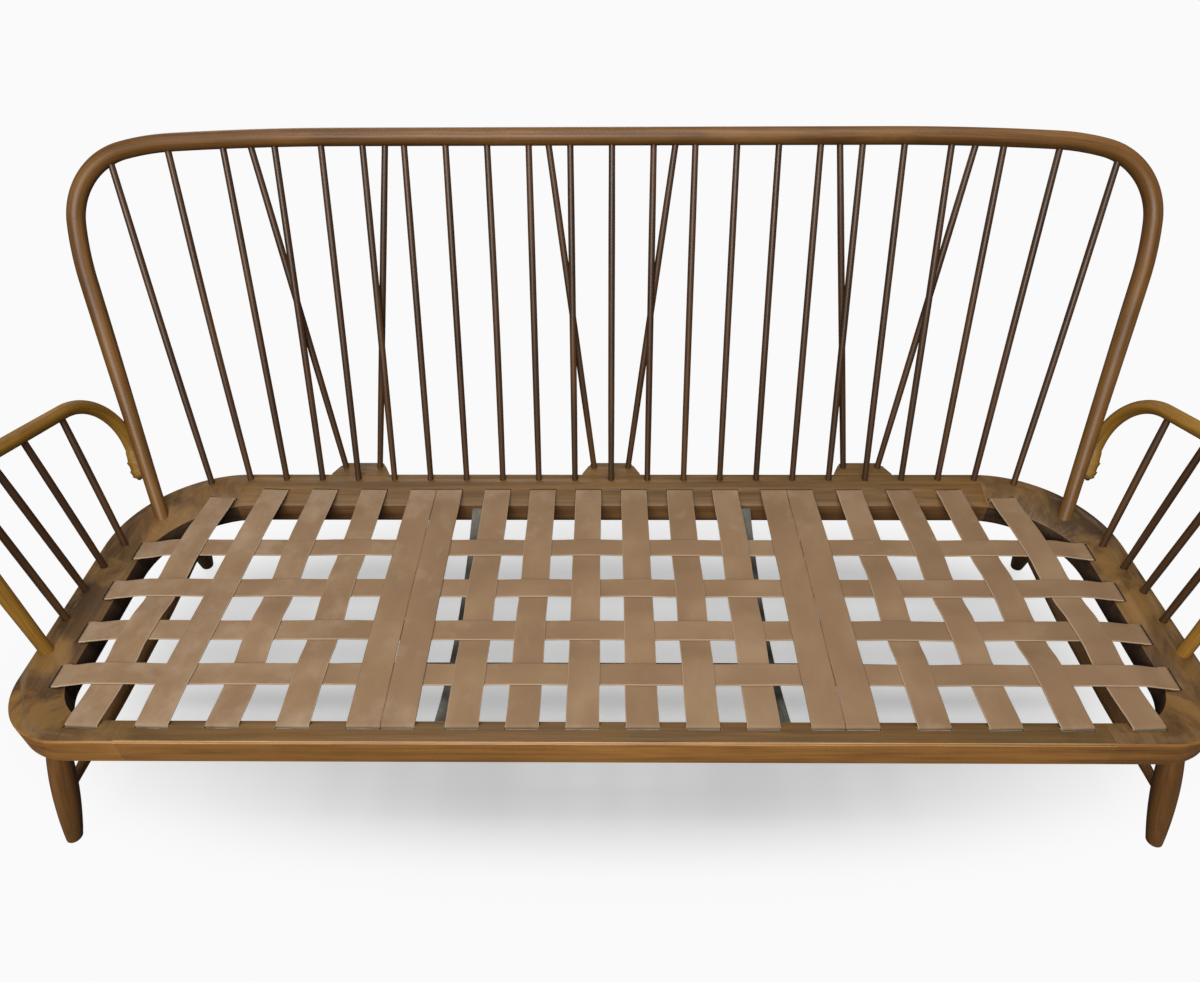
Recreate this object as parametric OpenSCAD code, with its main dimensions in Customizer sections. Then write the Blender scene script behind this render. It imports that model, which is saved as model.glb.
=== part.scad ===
// Three-seater bow-back settee frame with woven rubber webbing, in millimetres.
// X runs along the seat, Y runs from the front to the back, Z is up.
// The origin is on the floor, under the middle of the whole object.
// The pieces are drawn with depth 0 at the front face of the seat frame and
// height 0 at its top face, and placed() moves them onto the floor.

/* [Seat frame] */
// Width over the two side rails
frame_w = 1810; // [1782:4:1842]
// Depth from the front face to the rear face
frame_d = 598; // [590:2:610]
// Height of the top of the seat frame above the floor
frame_top = 310; // [290:2:330]
// Height of the rails at their outer faces
rail_h = 51; // [47:1:55]
// Slope of the dished inner part of the rails, as a fraction of the run
dish_slope = 0.28; // [0.26:0.01:0.3]
// Width of the front rail
front_rail_w = 40; // [38:1:45]
// Width of the rear rail
rear_rail_w = 78; // [75:1:84]
// Width of the side rails
side_rail_w = 67; // [63:1:70]
// Outer corner radius at the front
front_corner_r = 110; // [104:2:120]
// Outer corner radius at the back
rear_corner_r = 200; // [190:2:204]

/* [Back] */
// Height of the centre line of the back bow above the seat frame
back_h = 570; // [554:1:584]
// Backward lean of the back bow in degrees
back_rake = 29.4; // [28:0.2:30.4]
// Diameter of the back bow
bow_dia = 29.5; // [27:0.5:31]
// Diameter of the back bow where it enters the seat frame
bow_foot_dia = 24; // [22:0.5:25]
// Diameter of the back sticks
stick_dia = 12; // [10.5:0.5:12.5]
// From the frame's side face to the last back stick but one, along the seat
stick_side_in = 203; // [201:1:213]
// Diameter of the brace sticks
brace_dia = 12; // [10:0.5:13]

/* [Arms] */
// Diameter of the arm bows
arm_dia = 24; // [22:0.5:25]
// Diameter of the arm sticks
arm_stick_dia = 12; // [10.5:0.5:12.5]
// Outward lean of the arm bows in degrees
arm_lean = 12.4; // [11.6:0.1:13.2]

/* [Legs] */
// Largest diameter of a leg
leg_dia = 38; // [35:1:41]
// Diameter of a leg at the floor
leg_foot_dia = 22; // [20:1:24]
// Height of the stretchers above the floor
stretcher_z = 114; // [106:2:124]
// Largest diameter of a stretcher
stretcher_dia = 27; // [24:1:28]

/* [Webbing] */
// Width of a front to back strap
strap_w = 48.5; // [46:0.5:49]
// Width of a side to side strap
cross_strap_w = 39.5; // [36:0.5:42]
// Thickness of the webbing
strap_t = 2.6; // [2.2:0.1:2.8]

/* [Fits] */
// Gap all round a round end in its bore
glue_gap = 0.1; // [0.05:0.05:0.15]
// Gap left at the bottom of a bore or a mortise
end_gap = 0.3; // [0.2:0.1:0.4]

/* [Hidden] */
$fn = 96;
big = 3000;
// turn of a round bar about its own axis, which only moves the seam of its surface
seam_turn = 45;

// seat frame
half_w = frame_w / 2;
flat_front = 20;
flat_rear = 28;
flat_side = 25;
dish_depth = 21;
front_inner_r = 90;
rear_inner_r = 155;
edge = 2.5;
// the rails meet just outside the last back stick but one at each end
joint_past_stick = 9;
joint_tenon = [24, 14, 22];
joint_front_drop = 17;
joint_rear_drop = 28;
joint_front_y = 14;
joint_rear_in = 60;
joint_rear_y = frame_d - joint_rear_in;

// back bow, drawn in its own leaning plane with s up the plane
bow_foot_in = 64;
bow_foot_ahead = 109;
bow_foot_x = half_w - bow_foot_in;
bow_foot_y = frame_d - bow_foot_ahead;
bow_lean = 11.3;
shoulder_r = 500;
corner_r = 125;
run_r = 450;
crown_r = 5600;
corner_turn = 76;
run_turn = 87;
bow_depth = 26;
// pieces of a bow overlap by lap, one of each two a little thicker by lap_step
lap = 1.5;
lap_step = 0.1;
bow_s = back_h / cos(back_rake);
shoulder_dx = shoulder_r * (1 - cos(bow_lean));
shoulder_ds = shoulder_r * sin(bow_lean);
corner_dx = corner_r * (1 - cos(corner_turn));
corner_ds = corner_r * sin(corner_turn);
run_dx = run_r * (cos(corner_turn) - cos(run_turn));
run_ds = run_r * (sin(run_turn) - sin(corner_turn));
crown_dx = crown_r * cos(run_turn);
crown_ds = crown_r * (1 - sin(run_turn));
bow_leg_s = bow_s - shoulder_ds - corner_ds - run_ds - crown_ds;
bow_leg_x = bow_foot_x + bow_leg_s * tan(bow_lean);
side_x = bow_leg_x + shoulder_dx;
side_s = bow_leg_s + shoulder_ds;
run_x = side_x - corner_dx;
run_s = side_s + corner_ds;
crown_x = run_x - run_dx;
crown_s = run_s + run_ds;
top_x = crown_x - crown_dx;
overall_d = bow_foot_y + back_h * tan(back_rake) + (bow_dia + lap_step) / 2;

// height up the leaning plane of the bow's centre line at a given X
function bow_s_at(x) =
  x > run_x ? side_s + sqrt(pow(corner_r, 2) - pow(x - side_x + corner_r, 2)) :
  x > crown_x ? run_s - run_r * sin(corner_turn)
    + sqrt(pow(run_r, 2) - pow(x - run_x + run_r * cos(corner_turn), 2)) :
  x > top_x ? bow_s - crown_r + sqrt(pow(crown_r, 2) - pow(x - top_x, 2)) : bow_s;
function bow_point(x) = [x, bow_foot_y + bow_s_at(abs(x)) * sin(back_rake),
  bow_s_at(abs(x)) * cos(back_rake)];

// back sticks, numbered from -11 on the left to 11 on the right
stick_half = 11;
stick_pitch = (half_w - stick_side_in) / (stick_half - 1);
stick_inset = 15;
stick_depth = 22;
stick_top_more = 1;
stick_top_pitch = stick_pitch + stick_top_more;
stick_fan_from = 7;
stick_fan = 8.8;
stick_fan_power = 1.6;
stick_end_shift = 2;
joint_x = (stick_half - 1) * stick_pitch + joint_past_stick;
function beyond(n) = max(abs(n) - stick_fan_from, 0);
function side_of(n) = n < 0 ? -1 : 1;
function stick_foot_x(n) = n * stick_pitch + (abs(n) == stick_half ? side_of(n) * stick_end_shift : 0);
function rear_edge(x) = abs(x) < half_w - rear_corner_r ? frame_d :
  frame_d - rear_corner_r + sqrt(pow(rear_corner_r, 2) - pow(abs(x) - half_w + rear_corner_r, 2));
function stick_foot(n) = [stick_foot_x(n), rear_edge(stick_foot_x(n)) - stick_inset, 0];
function stick_top(n) = bow_point(n * stick_top_pitch
  + side_of(n) * stick_fan * pow(beyond(n), stick_fan_power));

// brace sticks and the blocks behind the rear rail that hold their feet
block_side_in = 414;
block_x = half_w - block_side_in;
block_base = 113;
block_end = 80;
block_out = 34;
block_r = 9;
block_h = 30;
block_flare = 4;
block_nose = 2;
brace_out = 22;
brace_half = 33.6;
brace_depth = 20;
brace_top_half = 110;
brace_top_more = 7;
brace_top_shift = 13;
function brace_foot(k) = [block_x * (floor(k / 2) - 1) + (k % 2 == 0 ? -1 : 1) * brace_half,
  frame_d + brace_out, 0];
function brace_top(k) = bow_point((block_x + brace_top_shift) * (floor(k / 2) - 1)
  + (k % 2 == 0 ? -1 : 1) * (brace_top_half + abs(floor(k / 2) - 1) * brace_top_more));

// arm bow, drawn in its own leaning plane with p to the back and q up
arm_foot_in = 18;
arm_foot_ahead = 326;
arm_foot = [half_w - arm_foot_in, bow_foot_y - arm_foot_ahead, 0];
arm_yaw = 3.4;
arm_foot_dia = 20;
arm_depth = 24;
arm_rise = 178.6;
arm_rise_angle = 82.5;
arm_front_r = 113.5;
arm_slope = -12.8;
arm_run = 156.4;
arm_rear_r = 105.9;
arm_end_angle = -116.2;
arm_end_run = 40;
arm_p1 = arm_rise * cos(arm_rise_angle);
arm_q1 = arm_rise * sin(arm_rise_angle);
arm_c1 = [arm_p1 + arm_front_r * sin(arm_rise_angle), arm_q1 - arm_front_r * cos(arm_rise_angle)];
arm_p2 = arm_c1[0] - arm_front_r * sin(arm_slope);
arm_q2 = arm_c1[1] + arm_front_r * cos(arm_slope);
arm_p3 = arm_p2 + arm_run * cos(arm_slope);
arm_q3 = arm_q2 + arm_run * sin(arm_slope);
arm_c3 = [arm_p3 + arm_rear_r * sin(arm_slope), arm_q3 - arm_rear_r * cos(arm_slope)];
arm_p4 = arm_c3[0] - arm_rear_r * sin(arm_end_angle);
arm_q4 = arm_c3[1] + arm_rear_r * cos(arm_end_angle);
arm_stick_in = [33, 23.5, 18, 17];
arm_stick_ahead = [84, 142, 198, 261];
arm_stick_p = [305, 217, 147, 88];
arm_stick_depth = 20;

// height in the arm's plane of its centre line at a given p
function arm_q(p) = p > arm_p3 ? arm_c3[1] + sqrt(pow(arm_rear_r, 2) - pow(p - arm_c3[0], 2)) :
  p > arm_p2 ? arm_q2 + (p - arm_p2) * tan(arm_slope) :
  arm_c1[1] + sqrt(pow(arm_front_r, 2) - pow(p - arm_c1[0], 2));
function arm_point(p, q) = [arm_foot[0] - p * sin(arm_yaw) + q * sin(arm_lean) * cos(arm_yaw),
  arm_foot[1] + p * cos(arm_yaw) + q * sin(arm_lean) * sin(arm_yaw),
  arm_foot[2] + q * cos(arm_lean)];
function arm_stick_foot(k) = [half_w - arm_stick_in[k], bow_foot_y - arm_stick_ahead[k], 0];
function arm_stick_top(k) = arm_point(arm_stick_p[k], arm_q(arm_stick_p[k]));

// legs and stretchers
leg_top_dia = 27.4;
leg_tenon_dia = 25;
leg_tenon = 30;
leg_widest = 0.45;
leg_bands = 8;
leg_taper_end = 1.04;
leg_taper_power = 0.8;
// how far a leg is drawn past its ends before it is trimmed, and a tenon into the leg
leg_more = 12;
leg_tenon_lap = 10;
leg_socket_lap = 8;
front_leg_in = 68;
front_leg_back = 45;
front_foot_in = 3;
front_foot_back = 17;
rear_leg_in = 92;
rear_leg_ahead = 88;
rear_foot_out = 4;
rear_foot_back = 52;
front_leg_top = [half_w - front_leg_in, front_leg_back, -rail_h];
front_leg_foot = [half_w - front_foot_in, front_foot_back, -frame_top];
rear_leg_top = [half_w - rear_leg_in, frame_d - rear_leg_ahead, -rail_h];
rear_leg_foot = [half_w + rear_foot_out, frame_d + rear_foot_back, -frame_top];
stretcher_end_dia = 15;
long_stretcher_end_dia = 13;
stretcher_bore_len = 40;
// how far short of the axis of the piece it enters a stretcher stops
stretcher_stop = 5;
stretcher_neck = 36;
stretcher_swell = 60;
long_stretcher_at = 0.44;
function mix(a, b, t) = a + (b - a) * t;
stretcher_t = (frame_top - rail_h - stretcher_z) / (frame_top - rail_h);
front_joint = mix(front_leg_top, front_leg_foot, stretcher_t);
rear_joint = mix(rear_leg_top, rear_leg_foot, stretcher_t);
middle_joint = mix(front_joint, rear_joint, long_stretcher_at);

// bowed rails under the webbing
cross_rail_x = 250;
cross_rail_w = 28;
cross_rail_h = 27;
cross_rail_drop = 20;
cross_rail_dip = 42;
cross_rail_tenon = [18, 20, 18];

// webbing
strap_level = 0.3;
weave = strap_t / 2 + 0.15;
weave_flat = 4;
front_end_d = 25.5;
rear_end_in = 43;
side_end_in = 52;
rear_end_d = frame_d - rear_end_in;
side_end_x = half_w - side_end_in;
outer_strap_step = 21;
// the rearmost side to side strap ends a little further in, by the corner
rear_row_step = 7;
outer_strap_rise = 5.5;
strap_end_run = 12;
rest_gap = 0.4;
strap_tab = 8;
clip_t = 0.9;
clip_h = 6.5;
clip_play = 0.1;
pocket_w = 7;
pocket_lip = 1.2;
pocket_play = 1;
pocket_floor = 0.5;
pocket_h = 50;
row_first_in = 205.5;
row_first = frame_d - row_first_in;
row_pitch = 96.3;
row_closer = 5.2;
rows = 4;
straps = 18;
mid_pitch = 87;
pair_x = 335;
pair_pitch = 50;
outer_front_in = 136.2;
outer_rear_in = 166.2;
outer_gaps = 4;
outer_pitch_front = (half_w - outer_front_in - pair_x - pair_pitch / 2) / outer_gaps;
outer_pitch_rear = (half_w - outer_rear_in - pair_x - pair_pitch / 2) / outer_gaps;
function out_no(i) = i <= 9 ? 10 - i : i - 9;
function strap_side(i) = i <= 9 ? -1 : 1;
function place_from_middle(m, pitch) = m <= 3 ? (m - 0.5) * mid_pitch :
  m <= 5 ? pair_x + (m - 4.5) * pair_pitch : pair_x + pair_pitch / 2 + (m - 5) * pitch;
function strap_front_x(i) = strap_side(i) * place_from_middle(out_no(i), outer_pitch_front);
function strap_rear_x(i) = strap_side(i) * place_from_middle(out_no(i), outer_pitch_rear);
function strap_x_at(i, d) = mix(strap_front_x(i), strap_rear_x(i),
  (d - front_end_d) / (rear_end_d - front_end_d));
function strap_turn(i) = atan((strap_front_x(i) - strap_rear_x(i)) / (rear_end_d - front_end_d));
// rows are numbered from the back and lie closer together towards the front
function row_d(j) = row_first - (j - 1) * row_pitch + row_closer * (j - 1) * (j - 2) / 2;
// the outermost but one strap on the left and the two touching pairs lie on top throughout
function on_top(i, j) = i == 2 || out_no(i) == 4 || out_no(i) == 5 ? true :
  i <= 4 ? (i + j) % 2 == 0 : (i + j) % 2 == 1;
// height of the dished rail surface a given run in from its flat strip
function dish_at(run) = -dish_slope * max(run, 0);
// where a strap ends at the back, and the heights of the strap ends
function rear_end(i) = rear_end_d - (out_no(i) == 9 ? outer_strap_step : 0);
function rear_rest(i) = dish_at(frame_d - flat_rear - rear_end_d
  + (out_no(i) == 9 ? outer_strap_rise : 0)) + strap_t / 2 + rest_gap;
front_rest = dish_at(front_end_d - flat_front) + strap_t / 2 + rest_gap;
function side_end(j) = side_end_x - (j == 1 ? rear_row_step : 0);
function side_rest(j) = dish_at(half_w - flat_side - side_end(j)) + strap_t / 2 + rest_gap;

// screws that hold the arm bows to the back bow
screw_dia = 4;
screw_head = 8;
screw_in_arm = 6;
screw_in_bow = 7;
screw_head_in = 5;
screw_head_out = 8;
screw_at = [12, 44];

// moves a piece from frame depth and height to the floor origin
module placed() {
  translate([0, -overall_d / 2, frame_top])
    children();
}

// draws a right-hand thing on the side s
module sided(s) {
  if (s < 0)
    mirror([1, 0, 0])
      children();
  else
    children();
}

// round bar between two points, a at the first and b at the second
module bar(p, q, a, b) {
  v = q - p;
  len = norm(v);
  translate(p)
    rotate([0, acos(v[2] / len), atan2(v[1], v[0])])
      rotate([0, 0, seam_turn])
        cylinder(h = len, d1 = a, d2 = b);
}

// straight bar of one diameter, lengthened before p and after q
module long_bar(p, q, d, before, after) {
  u = (q - p) / norm(q - p);
  bar(p - u * before, q + u * after, d, d);
}

// rounded plate from height z up by h whose outline grows by grow on the way
module plate(x, front, rear, rf, rr, z, h, grow) {
  fy = front + rf;
  ry = rear - rr;
  for (s = [-1, 1]) {
    translate([s * (x - rf), fy, z])
      cylinder(h = h, r1 = rf, r2 = rf + grow);
    translate([s * (x - rr), ry, z])
      cylinder(h = h, r1 = rr, r2 = rr + grow);
  }
  // front to back part between the side faces
  translate([0, fy, z])
    rotate([90, 0, 180])
      linear_extrude(ry - fy)
        polygon([[-x, 0], [x, 0], [x + grow, h], [-x - grow, h]]);
  // the strips out to the front and rear faces
  translate([-(x - rf), 0, z])
    rotate([90, 0, 90])
      linear_extrude(2 * (x - rf))
        polygon([[front, 0], [ry, 0], [ry, h], [front - grow, h]]);
  translate([-(x - rr), 0, z])
    rotate([90, 0, 90])
      linear_extrude(2 * (x - rr))
        polygon([[fy, 0], [rear, 0], [rear + grow, h], [fy, h]]);
}

// whole seat frame ring before it is divided into rails
module frame_ring() {
  difference() {
    union() {
      plate(half_w - edge, edge, frame_d - edge, front_corner_r - edge, rear_corner_r - edge,
        -rail_h, edge, edge);
      plate(half_w, 0, frame_d, front_corner_r, rear_corner_r,
        edge - rail_h, rail_h - 2 * edge, 0);
      plate(half_w, 0, frame_d, front_corner_r, rear_corner_r, -edge, edge, -edge);
    }
    plate(half_w - side_rail_w, front_rail_w, frame_d - rear_rail_w,
      front_inner_r, rear_inner_r, -rail_h - 1, rail_h + 2, 0);
    dish();
  }
}

// the shallow dished basin in the top of the frame, a little taller than the frame
module dish() {
  run = dish_depth / dish_slope;
  plate(half_w - flat_side - run, flat_front + run, frame_d - flat_rear - run,
    front_corner_r - flat_front - run, rear_corner_r - flat_rear - run,
    -dish_depth, dish_depth + 1, run + 1 / dish_slope);
}

// square tenon on a rail end, or its mortise when grown by a gap and lengthened
module joint_peg(y, drop, s, gap, more) {
  translate([s * (joint_x + (joint_tenon[0] + more) / 2 - 1), y, -drop])
    cube([joint_tenon[0] + more + 2, joint_tenon[1] + 2 * gap, joint_tenon[2] + 2 * gap],
      center = true);
}

// tenon of a bowed cross rail, or its mortise when grown by a gap
module cross_peg(x, y, gap, more) {
  translate([x, y, -cross_rail_drop - cross_rail_h / 2])
    cube([cross_rail_tenon[1] + 2 * gap, 2 * (cross_rail_tenon[0] + more),
      cross_rail_tenon[2] + 2 * gap], center = true);
}

// pocket for the folded end of a front to back strap, at y with its open side towards s
module strap_pocket(x, turn, y, s, rest) {
  translate([x, y + s * (clip_t + pocket_lip - pocket_w / 2), rest - strap_tab - clip_t - pocket_floor])
    rotate([0, 0, turn])
      translate([-strap_w / 2 - pocket_play, -pocket_w / 2, 0])
        cube([strap_w + 2 * pocket_play, pocket_w, pocket_h]);
}

module front_pocket(i) {
  strap_pocket(strap_front_x(i), strap_turn(i), front_end_d, -1, front_rest);
}

module rear_pocket(i) {
  strap_pocket(strap_x_at(i, rear_end(i)), strap_turn(i), rear_end(i), 1, rear_rest(i));
}

module side_pocket(s, j) {
  w = cross_strap_w + 2 * pocket_play;
  translate([s * (side_end(j) + clip_t + pocket_lip - pocket_w / 2) - pocket_w / 2,
    row_d(j) - w / 2, side_rest(j) - strap_tab - clip_t - pocket_floor])
    cube([pocket_w, w, pocket_h]);
}

// bore for a round end that runs down from p along the line to q
module bore(p, q, d, depth) {
  u = (q - p) / norm(q - p);
  bar(p - u * (depth + end_gap), p + u * d, d + 2 * glue_gap, d + 2 * glue_gap);
}

// the back bow's straight leg, down into the frame, grown by a gap for its bore
module bow_leg(s, gap) {
  q = [s * bow_leg_x, bow_foot_y + bow_leg_s * sin(back_rake), bow_leg_s * cos(back_rake)];
  p = [s * bow_foot_x, bow_foot_y, 0];
  u = (q - p) / norm(q - p);
  bar(p - u * (bow_depth + (gap > 0 ? end_gap : 0)), q + u * lap, bow_foot_dia + 2 * gap,
    bow_dia + 2 * gap);
}

module front_rail() {
  color([0.47, 0.30, 0.16])
    difference() {
      union() {
        intersection() {
          frame_ring();
          translate([-joint_x, -1, -rail_h - 1])
            cube([2 * joint_x, front_rail_w + front_inner_r, rail_h + 2]);
        }
        for (s = [-1, 1])
          joint_peg(joint_front_y, joint_front_drop, s, 0, 0);
      }
      for (i = [2:straps - 1])
        front_pocket(i);
      for (s = [-1, 1])
        cross_peg(s * cross_rail_x, front_rail_w, glue_gap, end_gap);
    }
}

module rear_rail() {
  color([0.47, 0.30, 0.16])
    difference() {
      union() {
        intersection() {
          frame_ring();
          translate([-joint_x, frame_d - rear_rail_w - rear_inner_r, -rail_h - 1])
            cube([2 * joint_x, rear_rail_w + rear_inner_r + 1, rail_h + 2]);
        }
        for (s = [-1, 1])
          joint_peg(joint_rear_y, joint_rear_drop, s, 0, 0);
      }
      for (i = [2:straps - 1])
        rear_pocket(i);
      for (s = [-1, 1])
        cross_peg(s * cross_rail_x, frame_d - rear_rail_w, glue_gap, end_gap);
      for (n = [1 - stick_half:stick_half - 1])
        bore(stick_foot(n), stick_top(n), stick_dia, stick_depth);
    }
}

module side_rail(s) {
  i = s < 0 ? 1 : straps;
  color([0.46, 0.29, 0.15])
    difference() {
      intersection() {
        frame_ring();
        translate([s > 0 ? joint_x : -half_w - 1, -1, -rail_h - 1])
          cube([half_w + 1 - joint_x, frame_d + 2, rail_h + 2]);
      }
      joint_peg(joint_front_y, joint_front_drop, s, glue_gap, end_gap);
      joint_peg(joint_rear_y, joint_rear_drop, s, glue_gap, end_gap);
      front_pocket(i);
      rear_pocket(i);
      for (j = [1:rows])
        side_pocket(s, j);
      bore(stick_foot(s * stick_half), stick_top(s * stick_half), stick_dia, stick_depth);
      bow_leg(s, glue_gap);
      sided(s) {
        bore(arm_foot, arm_point(arm_p1, arm_q1), arm_foot_dia, arm_depth);
        for (k = [0:3])
          bore(arm_stick_foot(k), arm_stick_top(k), arm_stick_dia, arm_stick_depth);
        leg_socket(front_leg_top, front_leg_foot);
        leg_socket(rear_leg_top, rear_leg_foot);
      }
    }
}

module leg_socket(top, foot) {
  long_bar(top, top + (top - foot) / norm(top - foot) * leg_tenon,
    leg_tenon_dia + 2 * glue_gap, leg_socket_lap, end_gap);
}

module cross_rail(s) {
  half = (frame_d - rear_rail_w - front_rail_w) / 2;
  r = (half * half + cross_rail_dip * cross_rail_dip) / (2 * cross_rail_dip);
  color([0.33, 0.33, 0.29]) {
    translate([s * cross_rail_x - cross_rail_w / 2, front_rail_w + half, 0])
      rotate([90, 0, 90])
        linear_extrude(cross_rail_w)
          intersection() {
            translate([0, r - cross_rail_drop - cross_rail_dip])
              difference() {
                circle(r + cross_rail_h);
                circle(r);
              }
            translate([-half, -half - cross_rail_drop])
              square([2 * half, half + cross_rail_drop]);
          }
    difference() {
      union() {
        cross_peg(s * cross_rail_x, front_rail_w, 0, 0);
        cross_peg(s * cross_rail_x, front_rail_w + 2 * half, 0, 0);
      }
      translate([s * cross_rail_x - cross_rail_w, front_rail_w + 2, -rail_h])
        cube([2 * cross_rail_w, 2 * half - 4, rail_h]);
    }
  }
}

// block glued behind the rear rail, with bores for two brace sticks
module bobtail(c) {
  x = block_x * c;
  color([0.40, 0.29, 0.18])
    difference() {
      translate([x, frame_d, -block_h])
        linear_extrude(block_h)
          union() {
            polygon([[-block_base / 2, 0], [block_base / 2, 0],
              [block_end / 2 + block_flare, block_out - block_r],
              [-block_end / 2 - block_flare, block_out - block_r]]);
            translate([-block_end / 2 + block_r, block_out - 2 * block_r])
              square([block_end - 2 * block_r, 2 * block_r]);
            for (s = [-1, 1])
              translate([s * (block_end / 2 - block_r + block_nose), block_out - block_r])
                circle(block_r);
          }
      for (k = [2 * c + 2, 2 * c + 3])
        bore(brace_foot(k), brace_top(k), brace_dia, brace_depth);
    }
}

// one arc of the back bow in its XZ plane about c, from angle a to angle b
module bow_arc(c, r, a, b, d, more) {
  over = more / r * 180 / PI;
  translate([c[0], 0, c[1]])
    rotate([90, 0, 0])
      rotate([0, 0, a - over])
        rotate_extrude(angle = b - a + 2 * over)
          translate([r, 0])
            circle(d / 2);
}

// right half of the leaning back bow, as far as the straight top
module half_bow() {
  translate([0, bow_foot_y, 0])
    rotate([-back_rake, 0, 0]) {
      bow_arc([side_x - shoulder_r, side_s], shoulder_r, -bow_lean, 0, bow_dia + lap_step, 0);
      bow_arc([side_x - corner_r, side_s], corner_r, 0, corner_turn, bow_dia, lap);
      bow_arc([run_x - run_r * cos(corner_turn), run_s - run_r * sin(corner_turn)], run_r,
        corner_turn, run_turn, bow_dia + lap_step, 0);
      bow_arc([top_x, bow_s - crown_r], crown_r, run_turn, 90, bow_dia, lap);
    }
}

module back_hoop() {
  color([0.50, 0.32, 0.17])
    difference() {
      union() {
        half_bow();
        mirror([1, 0, 0])
          half_bow();
        bar(bow_point(-top_x), bow_point(top_x), bow_dia + lap_step, bow_dia + lap_step);
        for (s = [-1, 1])
          bow_leg(s, 0);
      }
      for (n = [-stick_half:stick_half])
        stick_bore(stick_foot(n), stick_top(n), stick_dia);
      for (k = [0:5])
        stick_bore(brace_foot(k), brace_top(k), brace_dia);
      for (s = [-1, 1])
        sided(s)
          for (k = [0, 1])
            screw_hole(k);
    }
}

// bore in a bow for the top end of a stick
module stick_bore(p, q, d) {
  u = (q - p) / norm(q - p);
  bar(q - u * bow_dia, q + u * end_gap, d + 2 * glue_gap, d + 2 * glue_gap);
}

module back_stick(n) {
  color([0.38, 0.24, 0.14])
    long_bar(stick_foot(n), stick_top(n), stick_dia, stick_depth, 0);
}

module brace_stick(k) {
  color([0.38, 0.24, 0.14])
    long_bar(brace_foot(k), brace_top(k), brace_dia, brace_depth, 0);
}

// one arc of an arm bow in its YZ plane about the centre c, from angle a to angle b
module arm_arc(c, r, a, b) {
  translate([0, c[0], c[1]])
    rotate([90, 0, 90])
      rotate([0, 0, a])
        rotate_extrude(angle = b - a)
          translate([r, 0])
            circle((arm_dia + lap_step) / 2);
}

// point on the arm bow's tail, a run t past its rear arc
function arm_tail(t) = arm_point(arm_p4 + t * cos(arm_end_angle), arm_q4 + t * sin(arm_end_angle));
// unit vector up the back bow's right leg, and the nearest point on it to a point
bow_leg_u = [sin(bow_lean), cos(bow_lean) * sin(back_rake), cos(bow_lean) * cos(back_rake)];
bow_foot_p = [bow_foot_x, bow_foot_y, 0];
function on_bow_leg(p) = bow_foot_p + bow_leg_u * ((p - bow_foot_p) * bow_leg_u);

module screw_shape(k, gap) {
  a = arm_tail(screw_at[k]);
  b = on_bow_leg(a);
  u = (b - a) / norm(b - a);
  bar(a - u * screw_in_arm, b + u * (screw_in_bow + gap), screw_dia + 2 * gap, screw_dia + 2 * gap);
  bar(a - u * (gap > 0 ? arm_dia : screw_head_out), a - u * screw_head_in,
    screw_head + 2 * gap, screw_head + 2 * gap);
}

module screw_hole(k) {
  screw_shape(k, glue_gap);
}

module arm_bow() {
  foot_u = [0, cos(arm_rise_angle), sin(arm_rise_angle)];
  run_u = [0, cos(arm_slope), sin(arm_slope)];
  tail_u = [0, cos(arm_end_angle), sin(arm_end_angle)];
  run_a = [0, arm_p2, arm_q2];
  run_b = [0, arm_p3, arm_q3];
  tail_a = [0, arm_p4, arm_q4];
  color([0.50, 0.32, 0.17])
    difference() {
      translate(arm_foot)
        rotate([0, 0, arm_yaw])
          rotate([0, arm_lean, 0]) {
            bar(-foot_u * arm_depth, foot_u * (arm_rise + lap), arm_foot_dia, arm_dia);
            arm_arc(arm_c1, arm_front_r, 90 + arm_slope, 90 + arm_rise_angle);
            bar(run_a - run_u * lap, run_b + run_u * lap, arm_dia, arm_dia);
            arm_arc(arm_c3, arm_rear_r, 90 + arm_end_angle, 90 + arm_slope);
            bar(tail_a - tail_u * lap, tail_a + tail_u * arm_end_run, arm_dia, arm_foot_dia);
          }
      bow_leg(1, glue_gap);
      for (k = [0:3])
        arm_stick_bore(arm_stick_foot(k), arm_stick_top(k));
      for (k = [0, 1])
        screw_hole(k);
    }
}

module arm_stick_bore(p, q) {
  u = (q - p) / norm(q - p);
  bar(q - u * arm_dia, q + u * end_gap, arm_stick_dia + 2 * glue_gap,
    arm_stick_dia + 2 * glue_gap);
}

module arm_stick(k) {
  color([0.38, 0.24, 0.14])
    long_bar(arm_stick_foot(k), arm_stick_top(k), arm_stick_dia, arm_stick_depth, 0);
}

module arm_screws() {
  color([0.70, 0.66, 0.52])
    for (s = [-1, 1])
      sided(s)
        for (k = [0, 1])
          screw_shape(k, 0);
}

// radius of a leg a fraction t of the way down it
function leg_r(t) = t < leg_widest ?
  leg_top_dia / 2 + (leg_dia - leg_top_dia) / 2 * sin(90 * t / leg_widest) :
  leg_foot_dia / 2 + (leg_dia - leg_foot_dia) / 2
    * pow(cos(90 * (t - leg_widest) / (leg_taper_end - leg_widest)), leg_taper_power);

module turned_leg(top, foot) {
  v = foot - top;
  len = norm(v);
  intersection() {
    translate(top)
      rotate([0, acos(v[2] / len), atan2(v[1], v[0])])
        rotate([0, 0, seam_turn])
          rotate_extrude()
            polygon(concat([[0, -leg_more], [leg_top_dia / 2, -leg_more]],
              [for (n = [0:leg_bands]) [leg_r(n / leg_bands), len * n / leg_bands]],
              [[leg_foot_dia / 2 - 1, len + leg_more], [0, len + leg_more]]));
    translate([0, 0, -frame_top])
      cube([big, big, frame_top - rail_h]);
  }
  long_bar(top, top - v / len * leg_tenon, leg_tenon_dia, leg_tenon_lap, 0);
}

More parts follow.
